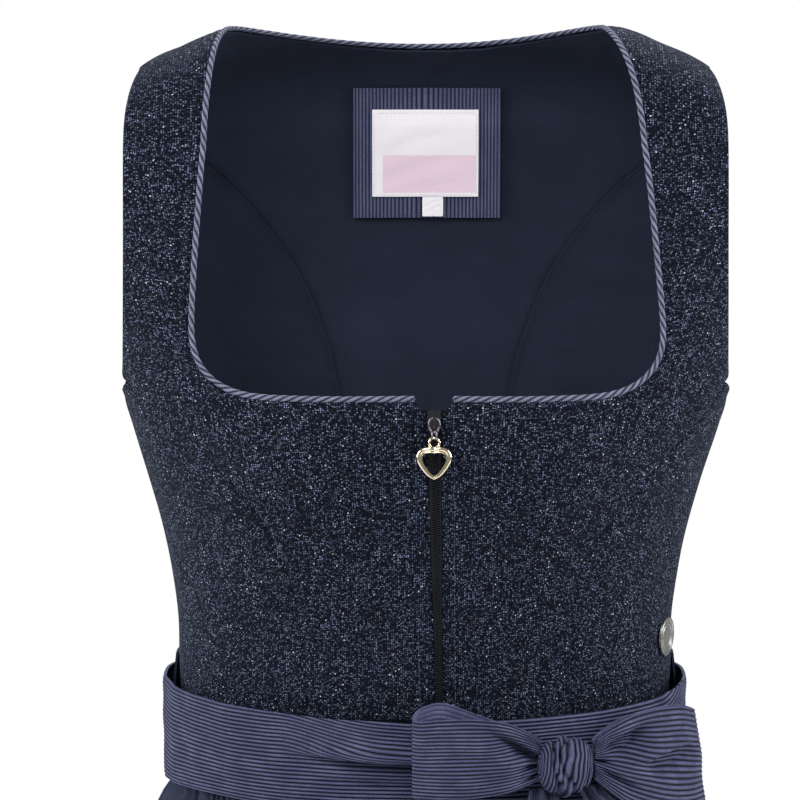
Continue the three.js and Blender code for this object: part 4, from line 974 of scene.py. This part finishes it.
def sewn_rings(name, *parts):
    bpy.ops.object.select_all(action="DESELECT")
    for part in parts:
        part.select_set(True)
    bpy.context.view_layer.objects.active = parts[0]
    bpy.ops.object.join()
    parts[0].name = name
    parts[0].data.name = name
    return parts[0]


def link():
    oval = oval_ring("link_oval", (HINGE_X, PULL_FORWARD, LINK_Z), 2.65, 3.65, 0.62)
    eyes = [
        oval_ring("link_eye", (HINGE_X + x, PULL_FORWARD, EYE_Z), 1.7, 2.2, 0.42, side_on=True)
        for x in (-EYE_APART, EYE_APART)
    ]
    return sewn_rings("link_rings", oval, *eyes)


# Badge turned on a lathe: a disc with a raised rim and one plain inner ring
def badge():
    radius, tall = np.array(BADGE_PROFILE).T
    around = np.linspace(0, 2 * PI, 97)[:, None]
    place = np.array([BADGE_TURN]), np.array([BADGE_Z])
    foot = off_body(*place, np.array([BADGE_LIFT]))[0]
    out = unit(foot - body_point(*place)[0])
    across = unit(np.cross([0, 0, 1], out))
    up = np.cross(out, across)
    points = foot + (radius * np.cos(around))[..., None] * across + (radius * np.sin(around))[..., None] * up
    points = points + np.broadcast_to(tall, points.shape[:2])[..., None] * out
    piece = cloth("badge_disc", points, pattern_of(points), 0, wrap=True)
    smooth_shade(piece, 30)
    return piece


# Node helpers and materials
def node(tree, kind, **values):
    made = tree.nodes.new(kind)
    for key, value in values.items():
        setattr(made, key, value)
    return made


def put(tree, target, socket, value):
    if isinstance(value, bpy.types.NodeSocket):
        tree.links.new(value, target.inputs[socket])
    else:
        target.inputs[socket].default_value = value


def math_node(tree, operation, *values):
    made = node(tree, "ShaderNodeMath", operation=operation)
    for i, value in enumerate(values):
        put(tree, made, i, value)
    return made.outputs[0]


def blend_colour(tree, factor, first, second):
    made = node(tree, "ShaderNodeMix", data_type="RGBA")
    put(tree, made, 0, factor)
    put(tree, made, 6, first)
    put(tree, made, 7, second)
    return made.outputs[2]


def spread_range(tree, value, low, high, to_low=0.0, to_high=1.0):
    made = node(tree, "ShaderNodeMapRange")
    for socket, number in enumerate((value, low, high, to_low, to_high)):
        put(tree, made, socket, number)
    return made.outputs[0]


def noise(tree, vector, scale, detail=3.0, roughness=0.5):
    made = node(tree, "ShaderNodeTexNoise")
    put(tree, made, "Vector", vector)
    made.inputs["Scale"].default_value = scale
    made.inputs["Detail"].default_value = detail
    made.inputs["Roughness"].default_value = roughness
    return made.outputs[0]


def linear(rgb):
    values = [v / 255 for v in rgb]
    return tuple(v / 12.92 if v <= 0.04045 else ((v + 0.055) / 1.055) ** 2.4 for v in values) + (1.0,)


# Principled material with its roughness, metal, sheen and specular set, returned with its tree and shader
def new_material(name, roughness=0.7, metallic=0.0, sheen=0.0, specular=0.5):
    material = bpy.data.materials.new(name)
    material.use_nodes = True
    tree = material.node_tree
    shader = tree.nodes["Principled BSDF"]
    shader.inputs["Roughness"].default_value = roughness
    shader.inputs["Metallic"].default_value = metallic
    shader.inputs["Sheen Weight"].default_value = sheen
    shader.inputs["Specular IOR Level"].default_value = specular
    return material, tree, shader


def bump(tree, shader, height, strength, distance):
    made = node(tree, "ShaderNodeBump")
    made.inputs["Strength"].default_value = strength
    made.inputs["Distance"].default_value = distance
    tree.links.new(height, made.inputs["Height"])
    tree.links.new(made.outputs[0], shader.inputs["Normal"])


# Group: threads over and under on the cloth's own pattern. Height is the thread relief, Shade varies it.
def weave_group():
    group = bpy.data.node_groups.new("thread weave", "ShaderNodeTree")
    for socket, kind in (("Warp pitch", "NodeSocketFloat"), ("Weft pitch", "NodeSocketFloat")):
        group.interface.new_socket(socket, in_out="INPUT", socket_type=kind)
    for socket in ("Height", "Shade"):
        group.interface.new_socket(socket, in_out="OUTPUT", socket_type="NodeSocketFloat")
    enter = node(group, "NodeGroupInput")
    leave = node(group, "NodeGroupOutput")
    place = node(group, "ShaderNodeUVMap", uv_map="pattern")
    split = node(group, "ShaderNodeSeparateXYZ")
    group.links.new(place.outputs[0], split.inputs[0])
    across = math_node(group, "DIVIDE", split.outputs[0], enter.outputs[0])
    up = math_node(group, "DIVIDE", split.outputs[1], enter.outputs[1])
    warp = math_node(group, "ABSOLUTE", math_node(group, "SINE", math_node(group, "MULTIPLY", across, PI)))
    weft = math_node(group, "ABSOLUTE", math_node(group, "SINE", math_node(group, "MULTIPLY", up, PI)))
    columns = math_node(group, "FLOOR", across)
    rows = math_node(group, "FLOOR", up)
    parity = math_node(group, "PINGPONG", math_node(group, "ADD", columns, rows), 1.0)
    over = math_node(group, "MULTIPLY", warp, parity)
    under = math_node(group, "MULTIPLY", weft, math_node(group, "SUBTRACT", 1.0, parity))
    group.links.new(math_node(group, "ADD", over, under), leave.inputs[0])
    slub = noise(group, place.outputs[0], 900.0, 2.0)
    group.links.new(slub, leave.inputs[1])
    return group


WEAVE = weave_group()


def weave(tree, warp, weft):
    made = node(tree, "ShaderNodeGroup", node_tree=WEAVE)
    made.inputs[0].default_value = warp
    made.inputs[1].default_value = weft
    return made.outputs[0], made.outputs[1]


def pattern_uv(tree):
    return node(tree, "ShaderNodeUVMap", uv_map="pattern").outputs[0]


# Navy cloth with a metallic thread: upright rows of small dots of every brightness, a few of them painted
# near-white as highlights
def glitter_material():
    material, tree, shader = new_material("glitter_cloth", 0.6, sheen=0.06, specular=0.06)
    shader.inputs["Sheen Roughness"].default_value = 0.45
    shader.inputs["Sheen Tint"].default_value = (0.55, 0.68, 1.0, 1.0)
    uv = pattern_uv(tree)
    height, shade = weave(tree, 0.0011, 0.0011)
    scaled = node(tree, "ShaderNodeVectorMath", operation="MULTIPLY")
    scaled.inputs[1].default_value = (860.0, 1080.0, 1.0)
    tree.links.new(uv, scaled.inputs[0])
    cells = node(tree, "ShaderNodeTexVoronoi", voronoi_dimensions="2D")
    cells.inputs["Scale"].default_value = 1.0
    cells.inputs["Randomness"].default_value = 0.6
    tree.links.new(scaled.outputs[0], cells.inputs["Vector"])
    chance = node(tree, "ShaderNodeSeparateColor")
    tree.links.new(cells.outputs["Color"], chance.inputs[0])
    dot = spread_range(tree, cells.outputs["Distance"], 0.46, 0.14)
    cloudy = noise(tree, uv, 110.0, 3.0)
    drawn = node(tree, "ShaderNodeVectorMath", operation="MULTIPLY")
    drawn.inputs[1].default_value = (900.0, 60.0, 1.0)
    tree.links.new(uv, drawn.inputs[0])
    columns = spread_range(tree, noise(tree, drawn.outputs[0], 1.0, 2.0), 0.35, 0.65, 0.55, 1.25)
    level = math_node(tree, "POWER", chance.outputs[0], 3.1)
    level = math_node(tree, "MULTIPLY", math_node(tree, "MULTIPLY", level, dot), columns)
    level = math_node(tree, "MULTIPLY", level, spread_range(tree, cloudy, 0.3, 0.7, 0.6, 1.3))
    # painted highlight: about one dot in a hundred set near-white in the base colour
    painted_highlight_dot = math_node(tree, "MULTIPLY", math_node(tree, "GREATER_THAN", chance.outputs[1], 0.988), dot)
    painted_highlight_dot = math_node(tree, "MULTIPLY", painted_highlight_dot, spread_range(tree, chance.outputs[2], 0.2, 1.0, 0.15, 0.9))
    base = blend_colour(tree, shade, linear((1, 3, 9)), linear((6, 9, 21)))
    # painted shade: near-black in the gaps between threads, lighter on the thread crowns, by the weave's
    # relief height
    base = blend_colour(tree, height, base, linear((5, 8, 20)))
    base = blend_colour(tree, level, base, linear((128, 140, 172)))
    # near-white colour of the painted highlight dots
    base = blend_colour(tree, painted_highlight_dot, base, linear((232, 238, 250)))
    tree.links.new(base, shader.inputs["Base Color"])
    tree.links.new(math_node(tree, "MULTIPLY", level, 0.5), shader.inputs["Metallic"])
    tree.links.new(spread_range(tree, level, 0.0, 1.0, 0.72, 0.36), shader.inputs["Roughness"])
    tilt = math_node(tree, "ADD", height, math_node(tree, "MULTIPLY", chance.outputs[2], 0.9))
    bump(tree, shader, tilt, 0.6, 0.0003)
    return material


# Plain woven cloth of one colour, with the slight unevenness of washed cotton
def plain_material(name, dark, light, roughness, pitch, sheen=0.05, crease=0.0006):
    material, tree, shader = new_material(name, roughness, sheen=sheen, specular=0.08)
    shader.inputs["Sheen Tint"].default_value = (0.6, 0.7, 1.0, 1.0)
    uv = pattern_uv(tree)
    height, shade = weave(tree, pitch, pitch)
    cloudy = noise(tree, uv, 45.0, 4.0, 0.6)
    woven = math_node(tree, "MULTIPLY", shade, 0.5)
    tone = math_node(tree, "ADD", woven, math_node(tree, "MULTIPLY", cloudy, 0.6))
    base = blend_colour(tree, tone, dark, light)
    tree.links.new(base, shader.inputs["Base Color"])
    creased = math_node(tree, "MULTIPLY", noise(tree, uv, 110.0, 5.0, 0.55), crease / 0.0002)
    bump(tree, shader, math_node(tree, "ADD", creased, height), 0.5, 0.0002)
    return material


# Corded cloth: the cords' tops painted light as highlight and the hollows between them painted dark as shade,
# one rib for each pitch up the pattern
def ribbed_material(name, shaded_hollow_colour, lit_crest_colour, pitch, crest_highlight_colour, axis=1):
    material, tree, shader = new_material(name, 0.55, sheen=0.05, specular=0.1)
    shader.inputs["Sheen Tint"].default_value = (0.7, 0.72, 1.0, 1.0)
    uv = pattern_uv(tree)
    split = node(tree, "ShaderNodeSeparateXYZ")
    tree.links.new(uv, split.inputs[0])
    turns = math_node(tree, "MULTIPLY", math_node(tree, "DIVIDE", split.outputs[axis], pitch), PI)
    wave = math_node(tree, "ABSOLUTE", math_node(tree, "COSINE", turns))
    crossing = math_node(tree, "DIVIDE", split.outputs[1 - axis], 0.0006)
    thread = math_node(tree, "ABSOLUTE", math_node(tree, "SINE", math_node(tree, "MULTIPLY", crossing, PI)))
    cloudy = noise(tree, uv, 70.0, 4.0, 0.6)
    stretch = node(tree, "ShaderNodeVectorMath", operation="MULTIPLY")
    stretch.inputs[1].default_value = (1.0, 9.0, 1.0) if axis else (9.0, 1.0, 1.0)
    tree.links.new(uv, stretch.inputs[0])
    streak = noise(tree, stretch.outputs[0], 120.0, 3.0)
    grain = noise(tree, uv, 1500.0, 2.0)
    # painted shade and highlight: dark in the hollows and between the crossing threads, light on the cords,
    # with random streaks and grain
    tone = spread_range(tree, wave, 0.3, 1.0)
    tone = math_node(tree, "MULTIPLY", tone, spread_range(tree, streak, 0.3, 0.7, 0.75, 1.1))
    tone = math_node(tree, "MULTIPLY", tone, spread_range(tree, thread, 0.0, 0.6, 0.72, 1.0))
    tone = math_node(tree, "MULTIPLY", tone, spread_range(tree, grain, 0.35, 0.65, 0.75, 1.15))
    base = blend_colour(tree, tone, shaded_hollow_colour, lit_crest_colour)
    # painted highlight: paler patches on the lit cords
    crest_highlight_mask = math_node(tree, "MULTIPLY", spread_range(tree, cloudy, 0.45, 0.8, 0.0, 0.5), tone)
    base = blend_colour(tree, crest_highlight_mask, base, crest_highlight_colour)
    tree.links.new(base, shader.inputs["Base Color"])
    relief = math_node(tree, "ADD", wave, math_node(tree, "MULTIPLY", thread, 0.15))
    bump(tree, shader, relief, 0.5, 0.0005)
    return material


def metal_material(name, colour, roughness, scratch):
    material, tree, shader = new_material(name, roughness, metallic=1.0)
    place = node(tree, "ShaderNodeTexCoord").outputs["Object"]
    grain = noise(tree, place, 2600.0, 4.0)
    soft = noise(tree, place, 240.0, 3.0)
    base = blend_colour(tree, soft, tuple(c * 0.8 for c in colour[:3]) + (1.0,), colour)
    tree.links.new(base, shader.inputs["Base Color"])
    worn = spread_range(tree, grain, 0.3, 0.7, roughness * 0.7, roughness * 1.5)
    tree.links.new(worn, shader.inputs["Roughness"])
    bump(tree, shader, grain, scratch, 0.00005)
    return material


# White woven tape with a plain pale pink field on it
def label_material(name, field):
    material, tree, shader = new_material(name, 0.75, sheen=0.2, specular=0.3)
    uv = pattern_uv(tree)
    height, shade = weave(tree, 0.0004, 0.0004)
    base = blend_colour(tree, shade, linear((244, 238, 246)), linear((255, 252, 255)))
    if field:
        split = node(tree, "ShaderNodeSeparateXYZ")
        tree.links.new(uv, split.inputs[0])
        masks = []
        for socket, (low, high) in zip(split.outputs[:2], field):
            masks.append(math_node(tree, "GREATER_THAN", socket, low))
            masks.append(math_node(tree, "LESS_THAN", socket, high))
        inside = masks[0]
        for mask in masks[1:]:
            inside = math_node(tree, "MULTIPLY", inside, mask)
        pink = blend_colour(tree, shade, linear((234, 206, 222)), linear((248, 226, 240)))
        base = blend_colour(tree, inside, base, pink)
    tree.links.new(base, shader.inputs["Base Color"])
    bump(tree, shader, height, 0.4, 0.00012)
    return material


def black_material(name, roughness, specular):
    material, tree, shader = new_material(name, roughness, specular=specular)
    place = node(tree, "ShaderNodeTexCoord").outputs["Object"]
    speck = noise(tree, place, 1500.0, 3.0)
    base = blend_colour(tree, speck, linear((10, 10, 14)), linear((30, 31, 38)))
    tree.links.new(base, shader.inputs["Base Color"])
    worn = spread_range(tree, speck, 0.3, 0.7, roughness * 0.8, roughness * 1.2)
    tree.links.new(worn, shader.inputs["Roughness"])
    bump(tree, shader, speck, 0.15, 0.0001)
    return material


FIELD_X = (-0.0215, 0.0275)
FIELD_Z = (-0.0918, -0.0712)
GLITTER = glitter_material()
LINING = plain_material(
    "lining_cotton", linear((19, 24, 38)), linear((38, 44, 61)),
    0.8, 0.0006, crease=0.0012,
)
SKIRT = plain_material("skirt_cloth", linear((24, 29, 44)), linear((43, 49, 69)), 0.62, 0.0007)
# Ribbed cloths: the first colour is painted shade for the hollows, the second the lit cords, the last a
# painted highlight
RIBBED = ribbed_material(
    "corded_cloth", linear((8, 10, 21)), linear((77, 82, 114)),
    RIB_PITCH * MM, linear((118, 122, 152)),
)
STRIPED = ribbed_material(
    "striped_patch", linear((30, 33, 54)), linear((92, 97, 128)),
    0.0021, linear((112, 116, 142)), axis=0,
)
PIPING = ribbed_material(
    "twisted_piping", linear((32, 34, 50)), linear((122, 126, 148)),
    0.001, linear((132, 136, 156)),
)
LABEL = label_material("label_tape", (FIELD_X, FIELD_Z))
TAB = label_material("size_tape", None)
SILVER = metal_material("dull_silver", (0.42, 0.42, 0.41, 1.0), 0.32, 0.2)
GOLD = metal_material("pale_gold", (0.96, 0.84, 0.62, 1.0), 0.08, 0.02)
BLACK_METAL = black_material("black_lacquer", 0.16, 0.9)
DARK_METAL = metal_material("dark_link", (0.22, 0.2, 0.25, 1.0), 0.25, 0.04)
BLACK_TAPE = black_material("zip_black", 0.4, 0.12)
THREAD = plain_material("sewing_thread", linear((40, 46, 68)), linear((84, 92, 118)), 0.6, 0.0005)
PALE_THREAD = plain_material("label_thread", linear((190, 184, 196)), linear((236, 230, 240)), 0.6, 0.0005)


def dress(piece, material):
    piece.data.materials.clear()
    piece.data.materials.append(material)


# Dresses a finished piece in its material, ties it to its body and hides the CAD nodes it replaces
def finish_piece(piece, material, slot, *nodes, body=BODY):
    dress(piece, material)
    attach(piece, body)
    if nodes:
        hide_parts(*nodes)


# Measures a piece's cut along the cloth: half the faces' area, inside and outside; the result is not kept
def lay(piece, held, *rests_on):
    mesh = piece.data
    area = sum(face.area for face in mesh.polygons) / 2
    corners = np.empty(len(mesh.loops) * 2)
    mesh.uv_layers["pattern"].data.foreach_get("uv", corners)
    width, length = np.ptp(corners.reshape(-1, 2), axis=0)
    length = max(length, area / width)


# Pieces of the dirndl
def side_name(side):
    return "right" if side == RIGHT else "left"


def bodice():
    for side in (RIGHT, LEFT):
        word = side_name(side)
        lines = front_centre_lines(side)
        centre = bodice_panel(
            f"front_center_{word}_cloth", front_centre_grids(lines), 0, BODICE_CLOTH, 0.35, 11 + side,
            [
                (lines["zip"], 0.5, STITCH_INSET, 0.35), (lines["neck"], 0.4, 5.6, 0.3),
                (lines["seam"], 0.8, 5, 0), (lines["arm"], 0.4, 5, 0.12),
            ],
        )
        finish_piece(centre, GLITTER, "glitter", f"front_center_{word}")
        lay(centre, "stretched", f"lining_side_{word}_cloth", "zip")
        lines = front_side_lines(side)
        flank = bodice_panel(
            f"front_side_{word}_cloth", [between(lines["seam"], lines["side"], 50)], 0, BODICE_CLOTH, 0.35,
            21 + side, [(lines["seam"], 0.8, 5, 0), (lines["side"], 0.5, 5, 0)],
        )
        finish_piece(flank, GLITTER, "glitter", f"front_side_{word}")
        lay(flank, "stretched", f"front_center_{word}_cloth")
        lines = back_side_lines(side)
        grid = between(lines["seam"], lines["side"], 50)
        edges = [(lines["seam"], 0.8, 5, 0), (lines["side"], 0.5, 5, 0)]
        back = bodice_panel(f"back_side_{word}_cloth", [grid], 0, BODICE_CLOTH, 0.35, 31 + side, edges)
        finish_piece(back, GLITTER, "glitter", f"back_side_{word}")
        lay(back, "stretched", f"front_side_{word}_cloth")
        edges = [(lines["seam"], 1.5, 3, 0.6), (lines["side"], 0, 5, 0)]
        lining = bodice_panel(
            f"lining_side_{word}_cloth", [grid], LINING_FACE, LINING_CLOTH, 0.3, 41 + side, edges, 0.5,
        )
        finish_piece(lining, LINING, "lining", f"lining_back_side_{word}")
        lay(lining, "stretched", f"back_side_{word}_cloth")
    sides = {side: back_centre_lines(side) for side in (RIGHT, LEFT)}
    grids = [back_centre_grid(side, lines) for side, lines in sides.items()]
    seams = [(sides[side]["seam"], 0.8, 5, 0) for side in sides]
    necks = [(sides[side]["neck"], 0.4, 5.6, 0.3) for side in sides]
    back = bodice_panel("back_center_cloth", grids, 0, BODICE_CLOTH, 0.3, 51, seams + necks)
    finish_piece(back, GLITTER, "glitter", "back_center")
    lay(back, "stretched", "back_side_right_cloth", "back_side_left_cloth")
    seams = [(sides[side]["seam"], -0.1, 4, 0) for side in sides]
    lining = bodice_panel("lining_back_center_cloth", grids, LINING_FACE, LINING_CLOTH, 0.3, 61, seams, 0.5)
    finish_piece(lining, LINING, "lining", "lining_back_center")
    lay(lining, "stretched", "back_center_cloth")


def pipings():
    for side in (RIGHT, LEFT):
        word = side_name(side)
        piece = piping(f"piping_{word}_cord", front_piping(side))
        finish_piece(piece, PIPING, "piping", f"piping_front_{word}")
    piece = piping("piping_back_cord", back_neck_whole(180, PIPING_ACROSS / 2))
    finish_piece(piece, PIPING, "piping", "piping_back")


# Lines of points inside the back along the edges of a rectangle, with their directions toward the wearer
def inside_runs(edges, inset, face):
    x_from, x_to, top, bottom = edges[0] + inset, edges[1] - inset, edges[2] - inset, edges[3] + inset
    corners = [(x_from, bottom), (x_to, bottom), (x_to, top), (x_from, top), (x_from, bottom)]
    runs = []
    for (x0, z0), (x1, z1) in zip(corners[:-1], corners[1:]):
        share = np.linspace(0.01, 0.99, 60)
        x, z = x0 + (x1 - x0) * share, z0 + (z1 - z0) * share
        turn = turn_at(True, LEFT, x, z)
        line = np.stack([np.where(turn < 0, turn + 2 * PI, turn), z], 1)
        runs.append((off_body(line[:, 0], line[:, 1], np.full(60, face)), -outward_of(line)))
    return runs


def labels():
    for name, edges, outer, thick, wave, material, slot in (
        ("label_patch", PATCH_EDGES, PATCH_FACE, 1.0, 0.3, STRIPED, "ribbed"),
        ("label", LABEL_EDGES, LABEL_FACE, 0.7, 0.4, LABEL, "label"),
        ("size_tab", TAB_EDGES, LABEL_FACE, 0.7, 0.2, TAB, "label"),
    ):
        piece = inside_back(f"{name}_cloth", *edges, outer, thick, wave)
        finish_piece(piece, material, slot, name)
        lay(piece, "stretched", "lining_back_center_cloth" if name == "label_patch" else "label_patch_cloth")
    runs = inside_runs(PATCH_EDGES, 1.6, PATCH_FACE - 1.15)
    finish_piece(stitches("patch_stitches", runs), THREAD, "ribbed")
    runs = inside_runs(LABEL_EDGES, 1.0, LABEL_FACE - 0.85)
    finish_piece(stitches("label_stitches", runs, 1.5, 0.6, 0.16), PALE_THREAD, "label")


def skirts():
    quarter = PI / 2
    for name, start, end, hem, top, pleats, depth, apart, thick, seed in (
        ("skirt_front", -quarter, quarter, HEM, -348, 40, 0.45, False, SKIRT_CLOTH, 71),
        ("skirt_back", quarter, 3 * quarter, HEM, -327, 60, 1.0, False, SKIRT_CLOTH, 72),
        ("apron", -APRON_TURN, APRON_TURN, APRON_HEM, -387, 52, 1.9, True, APRON_CLOTH, 73),
    ):
        piece = gathered(f"{name}_cloth", start, end, hem, top, pleats, depth, apart, thick, seed)
        finish_piece(piece, SKIRT, "skirt", name)
        lay(piece, "gathered", "apron_band")


def ties():
    pieces = [
        (band(), "apron_band", "stretched", "skirt_front"),
        (bow_loop("loop_right_cloth", LOOP_RIGHT, HOLLOWS_RIGHT, 81), "bow_loop_right", "folded", "bow_knot"),
        (bow_loop("loop_left_cloth", LOOP_LEFT, HOLLOWS_LEFT, 82), "bow_loop_left", "folded", "bow_knot"),
        (bow_tail("tail_right_cloth", TAIL_RIGHT, 0, 91), "bow_tail_right", "hung", "bow_knot"),
        (bow_tail("tail_left_cloth", TAIL_LEFT, 0.3, 92), "bow_tail_left", "hung", "bow_knot"),
    ]
    for piece, node_name, held, rests_on in pieces:
        finish_piece(piece, RIBBED, "ribbed", node_name)
        lay(piece, held, rests_on)
    tied = knot()
    finish_piece(tied, RIBBED, "ribbed", "bow_knot")


def trims():
    for name, material in (("zip", BLACK_TAPE), ("zip_slider", BLACK_METAL)):
        dress(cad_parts[name], material)
    finish_piece(coil_teeth(), BLACK_TAPE, "zip")
    finish_piece(link(), DARK_METAL, "black_metal", "pull_link", body="link")
    finish_piece(pendant(), GOLD, "gold", "heart_pull", body="heart")
    finish_piece(badge(), SILVER, "silver", "badge")
    runs = []
    for side in (RIGHT, LEFT):
        line = stationed(beside(zip_edge(side, 90), -side * STITCH_INSET), 300)
        runs.append((off_body(line[:, 0], line[:, 1], np.full(300, -0.3)), outward_of(line)))
    finish_piece(stitches("zip_stitches", runs), THREAD, "glitter")


# Camera, light and floor
def camera():
    bpy.ops.object.camera_add(location=(-0.013, -2.3, 0.13), rotation=(math.radians(82), 0, 0))
    made = bpy.context.object
    made.data.lens = 36 * 4466 / 800
    made.data.sensor_width = 36
    made.data.clip_end = 50
    bpy.context.scene.camera = made


def light(name, place, aim, size, power):
    bpy.ops.object.light_add(type="AREA", location=place)
    made = bpy.context.object
    made.name = name
    made.data.shape = "RECTANGLE"
    made.data.size, made.data.size_y = size
    made.data.energy = power
    made.rotation_euler = (Vector(aim) - Vector(place)).to_track_quat("-Z", "Y").to_euler()


# White surroundings that light the cloth less than they show, so that dark cloth keeps its depth
def surroundings():
    world = bpy.data.worlds.new("pale studio")
    bpy.context.scene.world = world
    world.use_nodes = True
    tree = world.node_tree
    seen = tree.nodes["Background"]
    seen.inputs[0].default_value = (1.0, 1.0, 1.0, 1.0)
    ray = node(tree, "ShaderNodeLightPath")
    strength = spread_range(tree, ray.outputs["Is Camera Ray"], 0.0, 1.0, ROOM_LIGHT, 1.0)
    tree.links.new(strength, seen.inputs[1])


def studio():
    bpy.ops.mesh.primitive_plane_add(size=5, location=(0, 0, FLOOR_Z))
    floor = bpy.context.object
    floor.name = "floor"
    material, tree, shader = new_material("pale_floor", 0.9, specular=0.1)
    place = node(tree, "ShaderNodeTexCoord").outputs["Object"]
    tone = blend_colour(tree, noise(tree, place, 6.0), (0.84, 0.84, 0.84, 1.0), (0.9, 0.9, 0.9, 1.0))
    tree.links.new(tone, shader.inputs["Base Color"])
    dress(floor, material)
    surroundings()
    for name, place, aim, size, power in LIGHTS:
        light(name, place, (0, 0, aim), size, power)
    bpy.context.scene.view_settings.view_transform = "Standard"


camera()
studio()
bodice()
pipings()
labels()
skirts()
ties()
trims()
